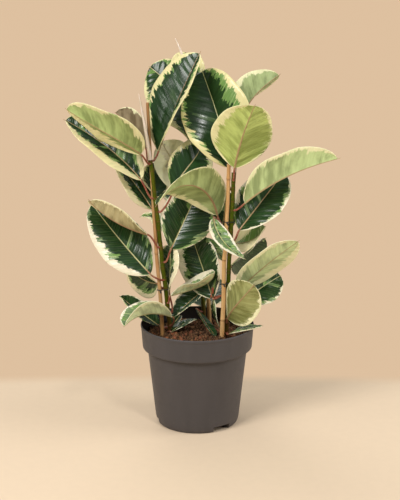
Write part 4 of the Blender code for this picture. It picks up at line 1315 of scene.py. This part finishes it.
# ---- stage ----------------------------------------------------------------------------------
CAMERA_PLACE = (0.005, -2.6, 1.045)
CAMERA_DROP = 15.37          # degrees below level
SENSOR_WIDTH = 36.0
FLOOR_SIZE = 9.0
AIM = (0, 0, 0.35)           # what every lamp points at
WORLD_WHITE = (1.0, 0.99, 0.97)
WORLD_POWER = 0.28
# Name, place, size, power and colour of each lamp.
LAMPS = (
    ("key", (-1.5, -1.8, 2.2), 1.1, 61.0, (1.0, 0.98, 0.95)),
    ("fill", (2.0, -0.3, 1.2), 1.2, 19.0, (1.0, 0.99, 0.97)),
    ("front", (1.00, -2.00, 2.25), 0.4, 17.5, (1.0, 0.99, 0.97)),
    ("side", (-2.3, -0.9, 1.35), 0.3, 3.5, (1.0, 0.98, 0.95)),
    ("top", (-0.6, 1.3, 2.1), 1.2, 14.0, (1.0, 0.98, 0.95)))


class PLANT_PG_stage(bpy.types.PropertyGroup):
    """Floor, backdrop and camera."""
    floor: FloatVectorProperty(name="Floor", description="Colour of the floor",
                               subtype="COLOR", size=3, default=(0.79, 0.63, 0.46))
    backdrop: FloatVectorProperty(name="Backdrop", description="Colour behind the plant",
                                  subtype="COLOR", size=3, default=(0.73, 0.53, 0.35))
    lens: FloatProperty(name="Lens", description="Focal length of the camera in millimetres",
                        default=106.2, min=20, max=300)


class PLANT_OT_stage(bpy.types.Operator):
    """Build the floor, the lamps and the camera"""
    bl_idname = "plant.stage"
    bl_label = "Stage"

    def execute(self, context):
        """Camera, floor, lamps and world, and plain colours in the view."""
        stage = context.scene.plant_stage
        self.camera(context, stage)
        self.floor(stage)
        self.lamps()
        self.world(context, stage)
        context.scene.view_settings.view_transform = "Standard"
        return {"FINISHED"}

    def camera(self, context, stage):
        """A long lens about a metre up, looking down at the plant."""
        data = bpy.data.cameras.new("camera")
        data.lens = stage.lens
        data.sensor_width = SENSOR_WIDTH
        camera = link(bpy.data.objects.new("camera", data))
        camera.location = CAMERA_PLACE
        camera.rotation_euler = (math.radians(90 - CAMERA_DROP), 0, 0)
        context.scene.camera = camera

    def floor(self, stage):
        """A wide floor that turns into the backdrop's flat colour behind the plant.

        The turn is at an oval: the length of (0.42 x, 1.35 y + 0.70 |y|) passes a limit.
        """
        verts = np.array([(-1, -1, 0), (1, -1, 0), (1, 1, 0), (-1, 1, 0)]) * FLOOR_SIZE
        n = MaterialNodes("stage_floor")
        x, y, _ = n.split(n.position())
        depth = y * 1.35 + n.math("ABSOLUTE", y) * 0.70
        reach = n.add("ShaderNodeVectorMath", {0: n.join(x * 0.42, depth, 0.0)}, output=1,
                      operation="LENGTH")
        grain = n.ramp(n.noise(n.position(), 60.0, 3.0), 0.3, 0.7)
        n.done(n.mix(grain, tinted(stage.floor, 0.985), stage.floor), 0.9, 0.1)
        flat = n.add("ShaderNodeEmission", {0: stage.backdrop, 1: 1.0})
        share = n.ramp(reach, 0.385, 0.52) * n.add("ShaderNodeLightPath")
        lit = Field(n, n.shader.outputs[0])
        mixed = n.add("ShaderNodeMixShader", {0: share, 1: lit, 2: flat})
        n.wire(mixed, n.tree.nodes["Material Output"].inputs["Surface"])
        mesh_object("stage_floor", verts, [np.array([[0, 1, 2, 3]])], [n.mat],
                             smooth=False)

    def lamps(self):
        """A large soft key from the upper left, weaker lamps from the other sides."""
        for name, place, size, power, tint in LAMPS:
            data = bpy.data.lights.new(name, "AREA")
            data.size = size
            data.energy = power
            data.color = tint
            lamp = link(bpy.data.objects.new(name, data))
            lamp.location = place
            lamp.rotation_euler = (Vector(AIM) - Vector(place)).to_track_quat("-Z", "Y").to_euler()

    def world(self, context, stage):
        """A pale even light, seen by the camera as the backdrop's colour."""
        world = context.scene.world or bpy.data.worlds.new("world")
        context.scene.world = world
        world.use_nodes = True
        world.node_tree.nodes.clear()
        n = Nodes(world.node_tree)
        soft = n.add("ShaderNodeBackground", {0: WORLD_WHITE, 1: WORLD_POWER})
        seen = n.add("ShaderNodeBackground", {0: stage.backdrop, 1: 1.0})
        mixed = n.add("ShaderNodeMixShader", {0: n.add("ShaderNodeLightPath"), 1: soft, 2: seen})
        n.add("ShaderNodeOutputWorld", {0: mixed}, output=None)


# ---- add-on ---------------------------------------------------------------------------------
STEPS = (PLANT_OT_pot, PLANT_OT_soil, PLANT_OT_stems, PLANT_OT_canes, PLANT_OT_ties,
         PLANT_OT_tips, PLANT_OT_leaves, PLANT_OT_stage)


class PLANT_PT_panel(bpy.types.Panel):
    """Buttons for each group of pieces"""
    bl_idname = "PLANT_PT_panel"
    bl_label = "Potted Rubber Plant"
    bl_space_type = "VIEW_3D"
    bl_region_type = "UI"
    bl_category = "Plant"

    def draw(self, context):
        """One button for each step, in the order in which they are built."""
        for step in STEPS:
            self.layout.operator(step.bl_idname)


GROUPS = {"plant_pot": PLANT_PG_pot, "plant_growth": PLANT_PG_growth,
          "plant_leaves": PLANT_PG_leaves, "plant_stage": PLANT_PG_stage}


def register():
    """Add the classes, and give the scene its groups of settings."""
    for cls in (*GROUPS.values(), *STEPS, PLANT_PT_panel):
        bpy.utils.register_class(cls)
    for name, group in GROUPS.items():
        setattr(bpy.types.Scene, name, PointerProperty(type=group))


def unregister():
    """Take away what register adds."""
    for name in GROUPS:
        delattr(bpy.types.Scene, name)
    for cls in reversed((*GROUPS.values(), *STEPS, PLANT_PT_panel)):
        bpy.utils.unregister_class(cls)


def main():
    """Build the plant."""
    register()
    bpy.ops.plant.pot()
    bpy.ops.plant.soil()
    bpy.ops.plant.stems()
    bpy.ops.plant.canes()
    bpy.ops.plant.ties()
    bpy.ops.plant.tips()
    bpy.ops.plant.leaves()
    bpy.ops.plant.stage()


if __name__ == "__main__":
    main()
